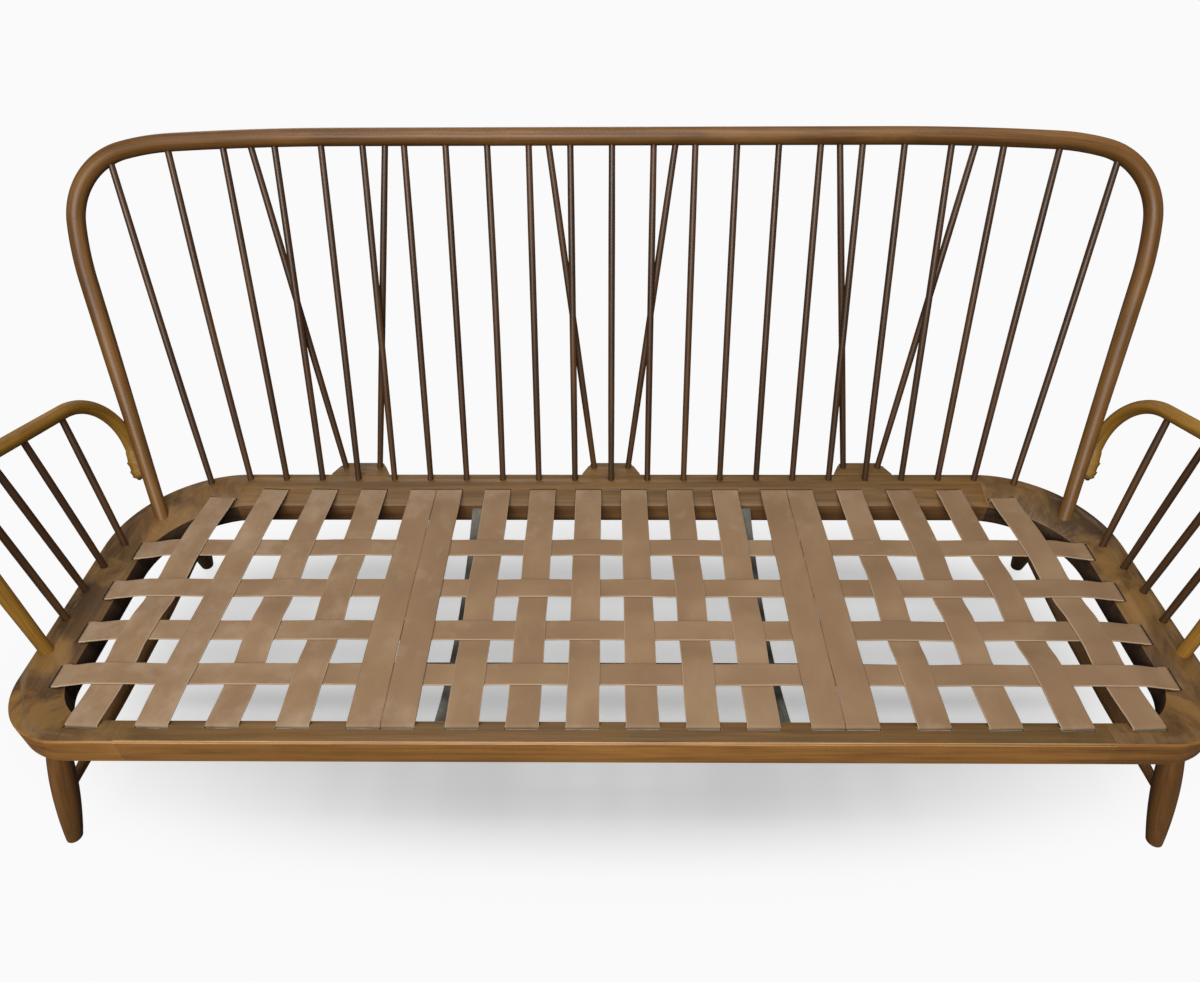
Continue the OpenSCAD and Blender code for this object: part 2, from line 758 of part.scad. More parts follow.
module front_leg() {
  color([0.36, 0.23, 0.13])
    difference() {
      turned_leg(front_leg_top, front_leg_foot);
      stretcher_bore(rear_joint, front_joint, stretcher_end_dia);
    }
}

module rear_leg() {
  color([0.36, 0.23, 0.13])
    difference() {
      turned_leg(rear_leg_top, rear_leg_foot);
      stretcher_bore(front_joint, rear_joint, stretcher_end_dia);
    }
}

module stretcher_bore(p, q, d) {
  u = (q - p) / norm(q - p);
  bar(q - u * stretcher_bore_len, q - u * (stretcher_stop - end_gap), d + 2 * glue_gap, d + 2 * glue_gap);
}

// stretcher between two axes, swelling towards its middle
module stretcher(p, q, end_d, mid_d) {
  v = q - p;
  len = norm(v);
  translate(p)
    rotate([0, acos(v[2] / len), atan2(v[1], v[0])])
      rotate_extrude()
        polygon([[0, stretcher_stop], [end_d / 2, stretcher_stop], [end_d / 2, stretcher_neck],
          [mid_d / 2, len / 2 - stretcher_swell], [mid_d / 2, len / 2 + stretcher_swell],
          [end_d / 2, len - stretcher_neck], [end_d / 2, len - stretcher_stop],
          [0, len - stretcher_stop]]);
}

module side_stretcher() {
  color([0.34, 0.22, 0.13])
    difference() {
      stretcher(front_joint, rear_joint, stretcher_end_dia, stretcher_dia);
      stretcher_bore([0, middle_joint[1], middle_joint[2]], middle_joint,
        long_stretcher_end_dia);
    }
}

module long_stretcher() {
  color([0.34, 0.22, 0.13])
    stretcher([-middle_joint[0], middle_joint[1], middle_joint[2]], middle_joint,
      long_stretcher_end_dia, stretcher_dia);
}

// strap section in a plane of run and height, from a list of centre line points
module strap_section(pts, last, rest_a, rest_b) {
  polygon(concat([for (p = pts) [p[0], p[1] + strap_t / 2]],
    [for (n = [len(pts) - 1:-1:0]) [pts[n][0], pts[n][1] - strap_t / 2]]));
  translate([0, rest_a - strap_tab])
    square([strap_t, strap_tab]);
  translate([last - strap_t, rest_b - strap_tab])
    square([strap_t, strap_tab]);
}

module webbing_fore_aft() {
  half = cross_strap_w / 2 + weave_flat;
  color([0.56, 0.43, 0.34])
    for (i = [1:straps]) {
      turn = strap_turn(i);
      last = (rear_end(i) - front_end_d) / cos(turn);
      pts = concat([[0, front_rest], [strap_end_run, front_rest]],
        [for (j = [rows:-1:1], e = [-half, half])
          [(row_d(j) - front_end_d) / cos(turn) + e, strap_level + (on_top(i, j) ? weave : -weave)]],
        [[last - strap_end_run, rear_rest(i)], [last, rear_rest(i)]]);
      translate([strap_front_x(i), front_end_d, 0])
        rotate([0, 0, turn])
          translate([-strap_w / 2, 0, 0])
            rotate([90, 0, 90])
              linear_extrude(strap_w)
                strap_section(pts, last, front_rest, rear_rest(i));
    }
}

// how far a side to side strap stays level on the left and right of a crossing
function level_left(i) = i == 6 || i == 14 ? 0 : strap_w / 2 + weave_flat;
function level_right(i) = i == 5 || i == 13 ? 0 : strap_w / 2 + weave_flat;

module webbing_cross() {
  color([0.58, 0.45, 0.36])
    for (j = [1:rows]) {
      half = side_end(j);
      rest = side_rest(j);
      last = 2 * half;
      pts = concat([[0, rest], [strap_end_run, rest]],
        [for (i = [1:straps], e = [-level_left(i), level_right(i)])
          [half + strap_x_at(i, row_d(j)) + e, strap_level + (on_top(i, j) ? -weave : weave)]],
        [[last - strap_end_run, rest], [last, rest]]);
      translate([-half, row_d(j) + cross_strap_w / 2, 0])
        rotate([90, 0, 0])
          linear_extrude(cross_strap_w)
            strap_section(pts, last, rest, rest);
    }
}

// folded steel clip round a strap's tab, w long, closed below
module clip(w) {
  t = strap_t + 2 * clip_t + 2 * clip_play;
  rotate([90, 0, 90])
    translate([0, 0, -w / 2])
      linear_extrude(w)
        difference() {
          translate([-t / 2, 0])
            square([t, clip_h]);
          translate([clip_t - t / 2, clip_t])
            square([t - 2 * clip_t, clip_h]);
        }
}

module webbing_clips() {
  drop = strap_tab + clip_t + clip_play;
  color([0.62, 0.62, 0.60]) {
    for (i = [1:straps]) {
      turn = strap_turn(i);
      translate([strap_front_x(i), front_end_d, front_rest - drop])
        rotate([0, 0, turn])
          translate([0, strap_t / 2, 0])
            clip(strap_w - 1);
      translate([strap_x_at(i, rear_end(i)), rear_end(i), rear_rest(i) - drop])
        rotate([0, 0, turn])
          translate([0, -strap_t / 2, 0])
            clip(strap_w - 1);
    }
    for (j = [1:rows], s = [-1, 1])
      translate([s * (side_end(j) - strap_t / 2), row_d(j), side_rest(j) - drop])
        rotate([0, 0, 90])
          clip(cross_strap_w - 1);
  }
}

placed() front_rail();
placed() rear_rail();
placed() side_rail(-1);  // left_side_rail
placed() side_rail(1);  // right_side_rail
placed() cross_rail(-1);  // left_cross_rail
placed() cross_rail(1);  // right_cross_rail
placed() bobtail(-1);  // bobtail_left
placed() bobtail(0);  // bobtail_centre
placed() bobtail(1);  // bobtail_right
placed() back_hoop();
for (n = [1:23])
  placed() back_stick(n - 12);
for (k = [1:6])
  placed() brace_stick(k - 1);
placed() sided(-1) arm_bow();  // left_arm_bow
placed() sided(1) arm_bow();  // right_arm_bow
for (k = [1:4])
  placed() sided(-1) arm_stick(k - 1);
for (k = [1:4])
  placed() sided(1) arm_stick(k - 1);
placed() sided(-1) front_leg();  // front_left_leg
placed() sided(1) front_leg();  // front_right_leg
placed() sided(-1) rear_leg();  // rear_left_leg
placed() sided(1) rear_leg();  // rear_right_leg
placed() sided(-1) side_stretcher();  // left_side_stretcher
placed() sided(1) side_stretcher();  // right_side_stretcher
placed() long_stretcher();
placed() webbing_fore_aft();
placed() webbing_cross();
placed() webbing_clips();
placed() arm_screws();
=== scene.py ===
import math
import random

import bmesh
import bpy
import numpy as np
from mathutils import Matrix, Vector


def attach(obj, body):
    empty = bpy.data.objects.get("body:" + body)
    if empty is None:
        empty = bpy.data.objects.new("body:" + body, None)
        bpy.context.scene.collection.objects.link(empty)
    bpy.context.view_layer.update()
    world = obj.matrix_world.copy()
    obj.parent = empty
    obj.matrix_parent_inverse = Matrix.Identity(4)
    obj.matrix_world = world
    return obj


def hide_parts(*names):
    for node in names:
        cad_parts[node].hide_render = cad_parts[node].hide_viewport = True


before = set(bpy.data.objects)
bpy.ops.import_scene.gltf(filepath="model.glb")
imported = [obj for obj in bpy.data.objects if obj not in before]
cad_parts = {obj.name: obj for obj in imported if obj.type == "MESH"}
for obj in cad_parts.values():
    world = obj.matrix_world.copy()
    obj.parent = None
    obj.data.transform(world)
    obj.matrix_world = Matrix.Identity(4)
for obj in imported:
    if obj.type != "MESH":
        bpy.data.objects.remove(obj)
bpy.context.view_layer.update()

# sizes a user would change
seat = dict(width=1810, depth=598, top=310, rail=51, flatFront=20, flatRear=28, flatSide=25,
            slope=0.28, frontCorner=110, rearCorner=200, frontRail=40, rearRail=78, sideRail=67)
bow = dict(height=570, rake=29.4, diameter=29.5, footDiameter=24, footX=841, footY=489, lean=11.3,
           shoulder=500, corner=125, run=450, crown=5600, cornerTurn=76, runTurn=87, sink=26)
stick = dict(diameter=12, endDiameter=11, pitch=70.2, topPitch=71.2, inset=15, sink=22,
             fanFrom=7, fan=8.8, fanPower=1.6, endShift=2)
brace = dict(diameter=12, endDiameter=11, blockX=491, out=22, half=33.6, sink=20, topHalf=110,
             topMore=7, topShift=13)
arm = dict(diameter=24, footDiameter=20, footX=887, footY=163, yaw=3.4, lean=12.4, rise=178.6,
           riseAngle=82.5, frontRadius=113.5, slope=-12.8, run=156.4, rearRadius=105.9,
           endAngle=-116.2, tail=45, sink=24)
armStick = dict(diameter=12, endDiameter=10.8, footX=(872, 881.5, 887, 888),
                footY=(405, 347, 291, 228), topP=(305, 217, 147, 88), sink=20)
leg = dict(top=27.4, widest=38, foot=22, widestAt=0.45, taperEnd=1.04, taperPower=0.8,
           frontTop=(837, 45), frontFoot=(902, 17), rearTop=(813, 510), rearFoot=(909, 650))
stretcher = dict(height=114, diameter=27, end=15, longEnd=13, longAt=0.44)
webbing = dict(width=48.5, crossWidth=39.5, thickness=2.6, level=0.3, weave=2.5, crossWeave=0.35, flat=4, endShow=1.3,
               frontEnd=25.5, rearEnd=555, outerStep=21, outerRise=5.5, sideEnd=853, rowStep=7,
               rest=0.4, tab=8, endRun=12, rows=4, straps=18, rowFirst=392.5, rowPitch=96.3,
               rowCloser=5.2, midPitch=87, pairX=335, pairPitch=50, pairMore=1.0, outerFront=102.2,
               outerRear=94.7)
overallDepth = (bow["footY"] + bow["height"] * math.tan(math.radians(bow["rake"]))
                + (bow["diameter"] + 0.1) / 2)


def sinD(a): return math.sin(math.radians(a))
def cosD(a): return math.cos(math.radians(a))
def tanD(a): return math.tan(math.radians(a))


def place(p):
    # millimetres behind the frame's front face and above its top, to metres on the floor origin
    return Vector((p[0], p[1] - overallDepth / 2, p[2] + seat["top"])) / 1000


def smooth(t):
    t = min(max(t, 0), 1)
    return t * t * (3 - 2 * t)


# the bow's own curve
bowLength = bow["height"] / cosD(bow["rake"])
shoulderS = bow["shoulder"] * sinD(bow["lean"])
cornerS = bow["corner"] * sinD(bow["cornerTurn"])
runS = bow["run"] * (sinD(bow["runTurn"]) - sinD(bow["cornerTurn"]))
crownS = bow["crown"] * (1 - sinD(bow["runTurn"]))
legS = bowLength - shoulderS - cornerS - runS - crownS
legX = bow["footX"] + legS * tanD(bow["lean"])
sideX = legX + bow["shoulder"] * (1 - cosD(bow["lean"]))
sideS = legS + shoulderS
runX = sideX - bow["corner"] * (1 - cosD(bow["cornerTurn"]))
runStart = sideS + cornerS
crownX = runX - bow["run"] * (cosD(bow["cornerTurn"]) - cosD(bow["runTurn"]))
topX = crownX - bow["crown"] * cosD(bow["runTurn"])


def bowHeightAt(x):
    if x > runX:
        return sideS + math.sqrt(bow["corner"] ** 2 - (x - sideX + bow["corner"]) ** 2)
    if x > crownX:
        return (runStart - bow["run"] * sinD(bow["cornerTurn"])
                + math.sqrt(bow["run"] ** 2 - (x - runX + bow["run"] * cosD(bow["cornerTurn"])) ** 2))
    if x > topX:
        return bowLength - bow["crown"] + math.sqrt(bow["crown"] ** 2 - (x - topX) ** 2)
    return bowLength


def onBow(x, s):
    return Vector((x, bow["footY"] + s * sinD(bow["rake"]), s * cosD(bow["rake"])))


def bowPoint(x):
    return onBow(x, bowHeightAt(abs(x)))


def bowHalfPath():
    # right half of the bow in its plane, from inside the frame to the middle of the top
    pts = []
    steps = 30
    for n in range(steps):
        s = -bow["sink"] + (legS + bow["sink"]) * n / steps
        pts.append((bow["footX"] + s * tanD(bow["lean"]), s))
    for n in range(14):
        a = -bow["lean"] + bow["lean"] * n / 14
        pts.append((sideX - bow["shoulder"] + bow["shoulder"] * cosD(a),
                    sideS + bow["shoulder"] * sinD(a)))
    for n in range(36):
        a = bow["cornerTurn"] * n / 36
        pts.append((sideX - bow["corner"] + bow["corner"] * cosD(a), sideS + bow["corner"] * sinD(a)))
    for n in range(14):
        a = bow["cornerTurn"] + (bow["runTurn"] - bow["cornerTurn"]) * n / 14
        pts.append((runX - bow["run"] * cosD(bow["cornerTurn"]) + bow["run"] * cosD(a),
                    runStart - bow["run"] * sinD(bow["cornerTurn"]) + bow["run"] * sinD(a)))
    for n in range(22):
        x = crownX + (topX - crownX) * n / 22
        pts.append((x, bowHeightAt(x)))
    for n in range(31):
        pts.append((topX * (1 - n / 30), bowLength))
    return pts


# sticks, braces and arms
def rearEdge(x):
    over = abs(x) - seat["width"] / 2 + seat["rearCorner"]
    if over <= 0:
        return seat["depth"]
    return seat["depth"] - seat["rearCorner"] + math.sqrt(seat["rearCorner"] ** 2 - over ** 2)


def stickFoot(n):
    x = n * stick["pitch"] + (math.copysign(stick["endShift"], n) if abs(n) == 11 else 0)
    return Vector((x, rearEdge(x) - stick["inset"], 0))


def stickTop(n):
    more = stick["fan"] * max(abs(n) - stick["fanFrom"], 0) ** stick["fanPower"]
    return bowPoint(n * stick["topPitch"] + math.copysign(more, n))


def braceFoot(k):
    return Vector((brace["blockX"] * (k // 2 - 1) + (-1 if k % 2 == 0 else 1) * brace["half"],
                   seat["depth"] + brace["out"], 0))


def braceTop(k):
    c = k // 2 - 1
    half = brace["topHalf"] + abs(c) * brace["topMore"]
    return bowPoint((brace["blockX"] + brace["topShift"]) * c + (-1 if k % 2 == 0 else 1) * half)


def armPoint(p, q):
    return Vector((arm["footX"] - p * sinD(arm["yaw"]) + q * sinD(arm["lean"]) * cosD(arm["yaw"]),
                   arm["footY"] + p * cosD(arm["yaw"]) + q * sinD(arm["lean"]) * sinD(arm["yaw"]),
                   q * cosD(arm["lean"])))


armP1, armQ1 = arm["rise"] * cosD(arm["riseAngle"]), arm["rise"] * sinD(arm["riseAngle"])
armC1 = (armP1 + arm["frontRadius"] * sinD(arm["riseAngle"]),
         armQ1 - arm["frontRadius"] * cosD(arm["riseAngle"]))
armP2 = armC1[0] - arm["frontRadius"] * sinD(arm["slope"])
armQ2 = armC1[1] + arm["frontRadius"] * cosD(arm["slope"])
armP3, armQ3 = armP2 + arm["run"] * cosD(arm["slope"]), armQ2 + arm["run"] * sinD(arm["slope"])
armC3 = (armP3 + arm["rearRadius"] * sinD(arm["slope"]),
         armQ3 - arm["rearRadius"] * cosD(arm["slope"]))
armP4 = armC3[0] - arm["rearRadius"] * sinD(arm["endAngle"])
armQ4 = armC3[1] + arm["rearRadius"] * cosD(arm["endAngle"])


def armHeight(p):
    if p > armP3:
        return armC3[1] + math.sqrt(arm["rearRadius"] ** 2 - (p - armC3[0]) ** 2)
    if p > armP2:
        return armQ2 + (p - armP2) * tanD(arm["slope"])
    return armC1[1] + math.sqrt(arm["frontRadius"] ** 2 - (p - armC1[0]) ** 2)


def armPath():
    # centre line of the right arm bow as (p, q), with the run from the foot
    pts = []
    for n in range(26):
        s = -arm["sink"] + (arm["rise"] + arm["sink"]) * n / 26
        pts.append((s * cosD(arm["riseAngle"]), s * sinD(arm["riseAngle"])))
    for n in range(30):
        a = 90 + arm["riseAngle"] + (arm["slope"] - arm["riseAngle"]) * n / 30
        pts.append((armC1[0] + arm["frontRadius"] * cosD(a), armC1[1] + arm["frontRadius"] * sinD(a)))
    for n in range(14):
        pts.append((armP2 + (armP3 - armP2) * n / 14, armQ2 + (armQ3 - armQ2) * n / 14))
    for n in range(34):
        a = 90 + arm["slope"] + (arm["endAngle"] - arm["slope"]) * n / 34
        pts.append((armC3[0] + arm["rearRadius"] * cosD(a), armC3[1] + arm["rearRadius"] * sinD(a)))
    for n in range(40):
        t = arm["tail"] * n / 39
        pts.append((armP4 + t * cosD(arm["endAngle"]), armQ4 + t * sinD(arm["endAngle"])))
    return pts


# mesh helpers
def srgb(hexText):
    # a hex colour as it looks on screen, to linear light
    out = []
    for n in (0, 2, 4):
        c = int(hexText.lstrip("#")[n:n + 2], 16) / 255
        out.append(c / 12.92 if c <= 0.04045 else ((c + 0.055) / 1.055) ** 2.4)
    return (*out, 1.0)


def newObject(name, verts, faces, grain=None, material=None, replaces=()):
    mesh = bpy.data.meshes.new(name)
    mesh.from_pydata([tuple(v) for v in verts], [], faces)
    mesh.validate()
    mesh.update()
    for poly in mesh.polygons:
        poly.use_smooth = True
    if grain is not None:
        layer = mesh.attributes.new("grain", "FLOAT_VECTOR", "POINT")
        layer.data.foreach_set("vector", np.array(grain, np.float32).ravel())
    obj = bpy.data.objects.new(name, mesh)
    bpy.context.scene.collection.objects.link(obj)
    if material is not None:
        mesh.materials.append(material)
    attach(obj, "root")
    if replaces:
        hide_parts(*replaces)
    return obj


def sweep(points, radii, sides=20, seed=0, squash=None):
    # Tube through points in mm with its grain running along it. Returns metres, faces and grain
    rnd = random.Random(seed)
    shift = np.array([rnd.uniform(0, 5) for _ in range(3)])
    pts = [Vector(p) for p in points]
    verts, grain, faces = [], [], []
    ref = None
    run = 0
    for i, p in enumerate(pts):
        a = pts[max(i - 1, 0)]
        b = pts[min(i + 1, len(pts) - 1)]
        t = (b - a).normalized()
        if ref is None:
            ref = t.orthogonal().normalized()
        ref = (ref - t * ref.dot(t)).normalized()
        side = t.cross(ref)
        if i:
            run += (p - pts[i - 1]).length
        for k in range(sides):
            ang = 2 * math.pi * k / sides
            r = radii[i]
            off = ref * (math.cos(ang) * r) + side * (math.sin(ang) * r)
            if squash:
                off = squash(i, run, off, t)
            verts.append(place(p + off))
            grain.append(np.array([math.cos(ang) * r, math.sin(ang) * r, run]) / 1000 + shift)
    rings = len(pts)
    for i in range(rings - 1):
        for k in range(sides):
            k2 = (k + 1) % sides
            faces.append((i * sides + k, i * sides + k2, (i + 1) * sides + k2, (i + 1) * sides + k))
    faces.append(tuple(range(sides - 1, -1, -1)))
    faces.append(tuple((rings - 1) * sides + k for k in range(sides)))
    return verts, faces, grain


def mirrored(verts, faces):
    return [Vector((-v[0], v[1], v[2])) for v in verts], [tuple(reversed(f)) for f in faces]


def flatEnds(obj, angle=40):
    # keeps round sides smooth and lets a flat cut stay flat
    mesh = obj.data
    mesh.update()
    obj.data.set_sharp_from_angle(angle=math.radians(angle))


# materials
def addNode(tree, kind, inputs=None, **props):
    node = tree.nodes.new(kind)
    for key, value in props.items():
        setattr(node, key, value)
    for key, value in (inputs or {}).items():
        if isinstance(value, bpy.types.NodeSocket):
            tree.links.new(value, node.inputs[key])
        else:
            node.inputs[key].default_value = value
    return node


def ramp(tree, fac, stops):
    node = addNode(tree, "ShaderNodeValToRGB", {"Fac": fac})
    els = node.color_ramp.elements
    while len(els) < len(stops):
        els.new(0.5)
    for el, (pos, col) in zip(els, stops):
        el.position = pos
        el.color = col if len(col) == 4 else (*col, 1)
    return node.outputs["Color"]


def mixColor(tree, fac, a, b, blend="MIX"):
    node = addNode(tree, "ShaderNodeMix", data_type="RGBA", blend_type=blend)
    for key, value in ((0, fac), (6, a), (7, b)):
        if isinstance(value, bpy.types.NodeSocket):
            tree.links.new(value, node.inputs[key])
        else:
            node.inputs[key].default_value = value
    return node.outputs[2]


def math2(tree, op, a, b=0.0, clamp=False):
    node = addNode(tree, "ShaderNodeMath", {0: a, 1: b}, operation=op)
    node.use_clamp = clamp
    return node.outputs[0]


def noise(tree, vector, scale, detail=3.0, rough=0.55, distortion=0.0):
    node = addNode(tree, "ShaderNodeTexNoise",
                   {"Vector": vector, "Scale": scale, "Detail": detail, "Roughness": rough,
                    "Distortion": distortion})
    return node.outputs["Fac"]


def stretched(tree, vector, scale, location=(0, 0, 0), rotation=(0, 0, 0)):
    return addNode(tree, "ShaderNodeMapping",
                   {"Vector": vector, "Scale": scale, "Location": location,
                    "Rotation": rotation}).outputs[0]


def newMaterial(name):
    mat = bpy.data.materials.new(name)
    mat.use_nodes = True
    tree = mat.node_tree
    tree.nodes.clear()
    out = addNode(tree, "ShaderNodeOutputMaterial")
    shader = addNode(tree, "ShaderNodeBsdfPrincipled")
    tree.links.new(shader.outputs[0], out.inputs[0])
    return mat, tree, shader


def woodMaterial(name, look):
    # Stained and sealed beech: long soft figure, short dark flecks, uneven stain and a satin film
    # grainAxis None reads the grain attribute, otherwise the grain runs along that object axis
    mat, tree, shader = newMaterial(name)
    axis = look.get("grainAxis")
    if axis is None:
        coord = addNode(tree, "ShaderNodeAttribute", attribute_name="grain").outputs["Vector"]
    else:
        base = addNode(tree, "ShaderNodeTexCoord").outputs["Object"]
        turn = {"X": (0, math.radians(90), 0), "Y": (math.radians(90), 0, 0), "Z": (0, 0, 0)}[axis]
        coord = stretched(tree, base, (1, 1, 1), rotation=turn)
    figure = noise(tree, stretched(tree, coord, (60, 60, 2.2)), 1.0, 4, 0.6, 0.6)
    streak = noise(tree, stretched(tree, coord, (420, 420, 9)), 1.0, 3, 0.65)
    fleck = noise(tree, stretched(tree, coord, (900, 900, 160)), 1.0, 2, 0.5)
    mottle = noise(tree, stretched(tree, coord, (9, 9, 4)), 1.0, 3, 0.6)
    tone = math2(tree, "ADD", math2(tree, "MULTIPLY", figure, 0.45), math2(tree, "MULTIPLY", streak, 0.30))
    tone = math2(tree, "ADD", tone, math2(tree, "MULTIPLY", mottle, 0.25))
    color = ramp(tree, tone, [(0.34, srgb(look["dark"])), (0.50, srgb(look["base"])),
                              (0.66, srgb(look["light"]))])
    fleckMask = ramp(tree, fleck, [(0.60, (0, 0, 0)), (0.68, (1, 1, 1))])
    color = mixColor(tree, math2(tree, "MULTIPLY", fleckMask, look.get("fleck", 0.35)), color,
                     srgb(look["fleckColor"]))
    wear = look.get("wear")
    if wear:
        patch = ramp(tree, noise(tree, stretched(tree, coord, (14, 14, 5)), 1.0, 5, 0.7, 0.4),
                     [(0.48, (0, 0, 0)), (0.70, (1, 1, 1))])
        color = mixColor(tree, math2(tree, "MULTIPLY", patch, wear), color, srgb(look["wearColor"]))
    if look.get("topSheenAndWearColor"):
        # the upward faces took less stain and hold dust, and they also carry a painted sheen, so they are painted
        # greyer
        normal = addNode(tree, "ShaderNodeNewGeometry").outputs["Normal"]
        up = addNode(tree, "ShaderNodeSeparateXYZ", {0: normal}).outputs[2]
        upMask = ramp(tree, up, [(0.70, (0, 0, 0)), (0.93, (1, 1, 1))])
        soft = ramp(tree, mottle, [(0.30, (0.65, 0.65, 0.65)), (0.60, (1, 1, 1))])
        fac = math2(tree, "MULTIPLY", math2(tree, "MULTIPLY", upMask, soft), look["topSheenAndWearAmount"])
        grey = ramp(tree, tone, [(0.36, srgb(look["topSheenAndWearDark"])), (0.62, srgb(look["topSheenAndWearColor"]))])
        if look.get("endFlatSheenAndWearLight"):
            # near the two ends the flat outer band is painted greyer, partly weathering and partly a painted sheen on
            # the flat faces, and the dished band golden
            spot = addNode(tree, "ShaderNodeTexCoord").outputs["Object"]
            aside = math2(tree, "ABSOLUTE", addNode(tree, "ShaderNodeSeparateXYZ", {0: spot}).outputs[0])
            patch = noise(tree, stretched(tree, spot, (11, 7, 7)), 1.0, 4, 0.6, 0.5)
            band = ramp(tree, patch, [(0.43, srgb(look["dishDark"])), (0.55, srgb(look["dishTop"]))])
            outer = ramp(tree, tone, [(0.36, srgb(look["endFlatSheenAndWearDark"])), (0.62, srgb(look["endFlatSheenAndWearLight"]))])
            flat = ramp(tree, up, [(0.9970, (0, 0, 0)), (0.9992, (1, 1, 1))])
            ends = mixColor(tree, flat, band, outer)
            grey = mixColor(tree, ramp(tree, aside, [(0.60, (0, 0, 0)), (0.86, (1, 1, 1))]), grey, ends)
        color = mixColor(tree, fac, color, grey)
    tree.links.new(color, shader.inputs["Base Color"])
    rough = math2(tree, "ADD", look["roughness"], math2(tree, "MULTIPLY",
                  math2(tree, "SUBTRACT", mottle, 0.5), 0.25))
    tree.links.new(rough, shader.inputs["Roughness"])
    shader.inputs["Specular IOR Level"].default_value = look.get("specular", 0.5)
    shader.inputs["Coat Weight"].default_value = look.get("coat", 0.25)
    shader.inputs["Coat Roughness"].default_value = look.get("coatRoughness", 0.28)
    height = math2(tree, "ADD", math2(tree, "MULTIPLY", streak, 0.6), math2(tree, "MULTIPLY", fleck, 0.4))
    bump = addNode(tree, "ShaderNodeBump", {"Height": height, "Strength": look.get("bump", 0.12),
                                            "Distance": 0.0006})
    tree.links.new(bump.outputs[0], shader.inputs["Normal"])
    return mat


def webbingMaterial(name, look):
    # Calendered rubber over cord: matte, with fine cord lines along the strap, pale edges that are partly cut edges
    # and partly a painted highlight, and a dusty bloom in patches
    mat, tree, shader = newMaterial(name)
    coord = addNode(tree, "ShaderNodeAttribute", attribute_name="grain").outputs["Vector"]
    side = addNode(tree, "ShaderNodeAttribute", attribute_name="edge").outputs["Fac"]
    dust = addNode(tree, "ShaderNodeAttribute", attribute_name="dust").outputs["Fac"]
    tone = noise(tree, stretched(tree, coord, (12, 12, 8)), 1.0, 3, 0.5)
    grit = noise(tree, stretched(tree, coord, (700, 700, 700)), 1.0, 3, 0.6)
    cord = noise(tree, stretched(tree, coord, (900, 900, 14)), 1.0, 2, 0.5)
    color = ramp(tree, tone, [(0.32, srgb(look["dark"])), (0.52, srgb(look["base"])),
                              (0.70, srgb(look["light"]))])
    color = mixColor(tree, math2(tree, "MULTIPLY", ramp(tree, cord, [(0.40, (0, 0, 0)), (0.70, (1, 1, 1))]),
                                 0.05), color, srgb(look["cordColor"]))
    bloom = noise(tree, stretched(tree, coord, (24, 24, 20)), 1.0, 7, 0.62, 0.1)
    bloom = math2(tree, "ADD", bloom, math2(tree, "MULTIPLY", math2(tree, "SUBTRACT", grit, 0.5), 0.22))
    bloom = math2(tree, "ADD", bloom, math2(tree, "MULTIPLY", math2(tree, "SUBTRACT", dust, 0.5), 0.38))
    bloomMask = ramp(tree, bloom, [(0.54, (0, 0, 0)), (0.90, (1, 1, 1))])
    color = mixColor(tree, math2(tree, "MULTIPLY", bloomMask, look["bloom"]), color,
                     srgb(look["bloomColor"]))
    # the strap sides are painted paler: partly their cut edges, partly a painted highlight
    edgeMask = ramp(tree, side, [(0.45, (0, 0, 0)), (0.95, (1, 1, 1))])
    color = mixColor(tree, math2(tree, "MULTIPLY", edgeMask, 0.5), color, srgb(look["paleEdgeAndHighlightColor"]))
    tree.links.new(color, shader.inputs["Base Color"])
    tree.links.new(math2(tree, "ADD", look["roughness"], math2(tree, "MULTIPLY", bloomMask, 0.25), True),
                   shader.inputs["Roughness"])
    shader.inputs["Specular IOR Level"].default_value = 0.25
    height = math2(tree, "ADD", math2(tree, "MULTIPLY", grit, 0.5), cord)
    bump = addNode(tree, "ShaderNodeBump", {"Height": height, "Strength": 0.22, "Distance": 0.0005})
    tree.links.new(bump.outputs[0], shader.inputs["Normal"])
    return mat


def steelMaterial(name, look):
    # Zinc-plated spring steel: fine brushing and slight cloudiness
    mat, tree, shader = newMaterial(name)
    coord = addNode(tree, "ShaderNodeTexCoord").outputs["Object"]
    cloud = noise(tree, stretched(tree, coord, (60, 60, 60)), 1.0, 4, 0.6)
    brush = noise(tree, stretched(tree, coord, (60, 60, 2400)), 1.0, 2, 0.5)
    color = ramp(tree, cloud, [(0.35, srgb(look["dark"])), (0.65, srgb(look["light"]))])
    tree.links.new(color, shader.inputs["Base Color"])
    shader.inputs["Metallic"].default_value = 1.0
    tree.links.new(math2(tree, "ADD", look["roughness"], math2(tree, "MULTIPLY", cloud, 0.15)),
                   shader.inputs["Roughness"])
    bump = addNode(tree, "ShaderNodeBump", {"Height": brush, "Strength": 0.1, "Distance": 0.0003})
    tree.links.new(bump.outputs[0], shader.inputs["Normal"])
    return mat
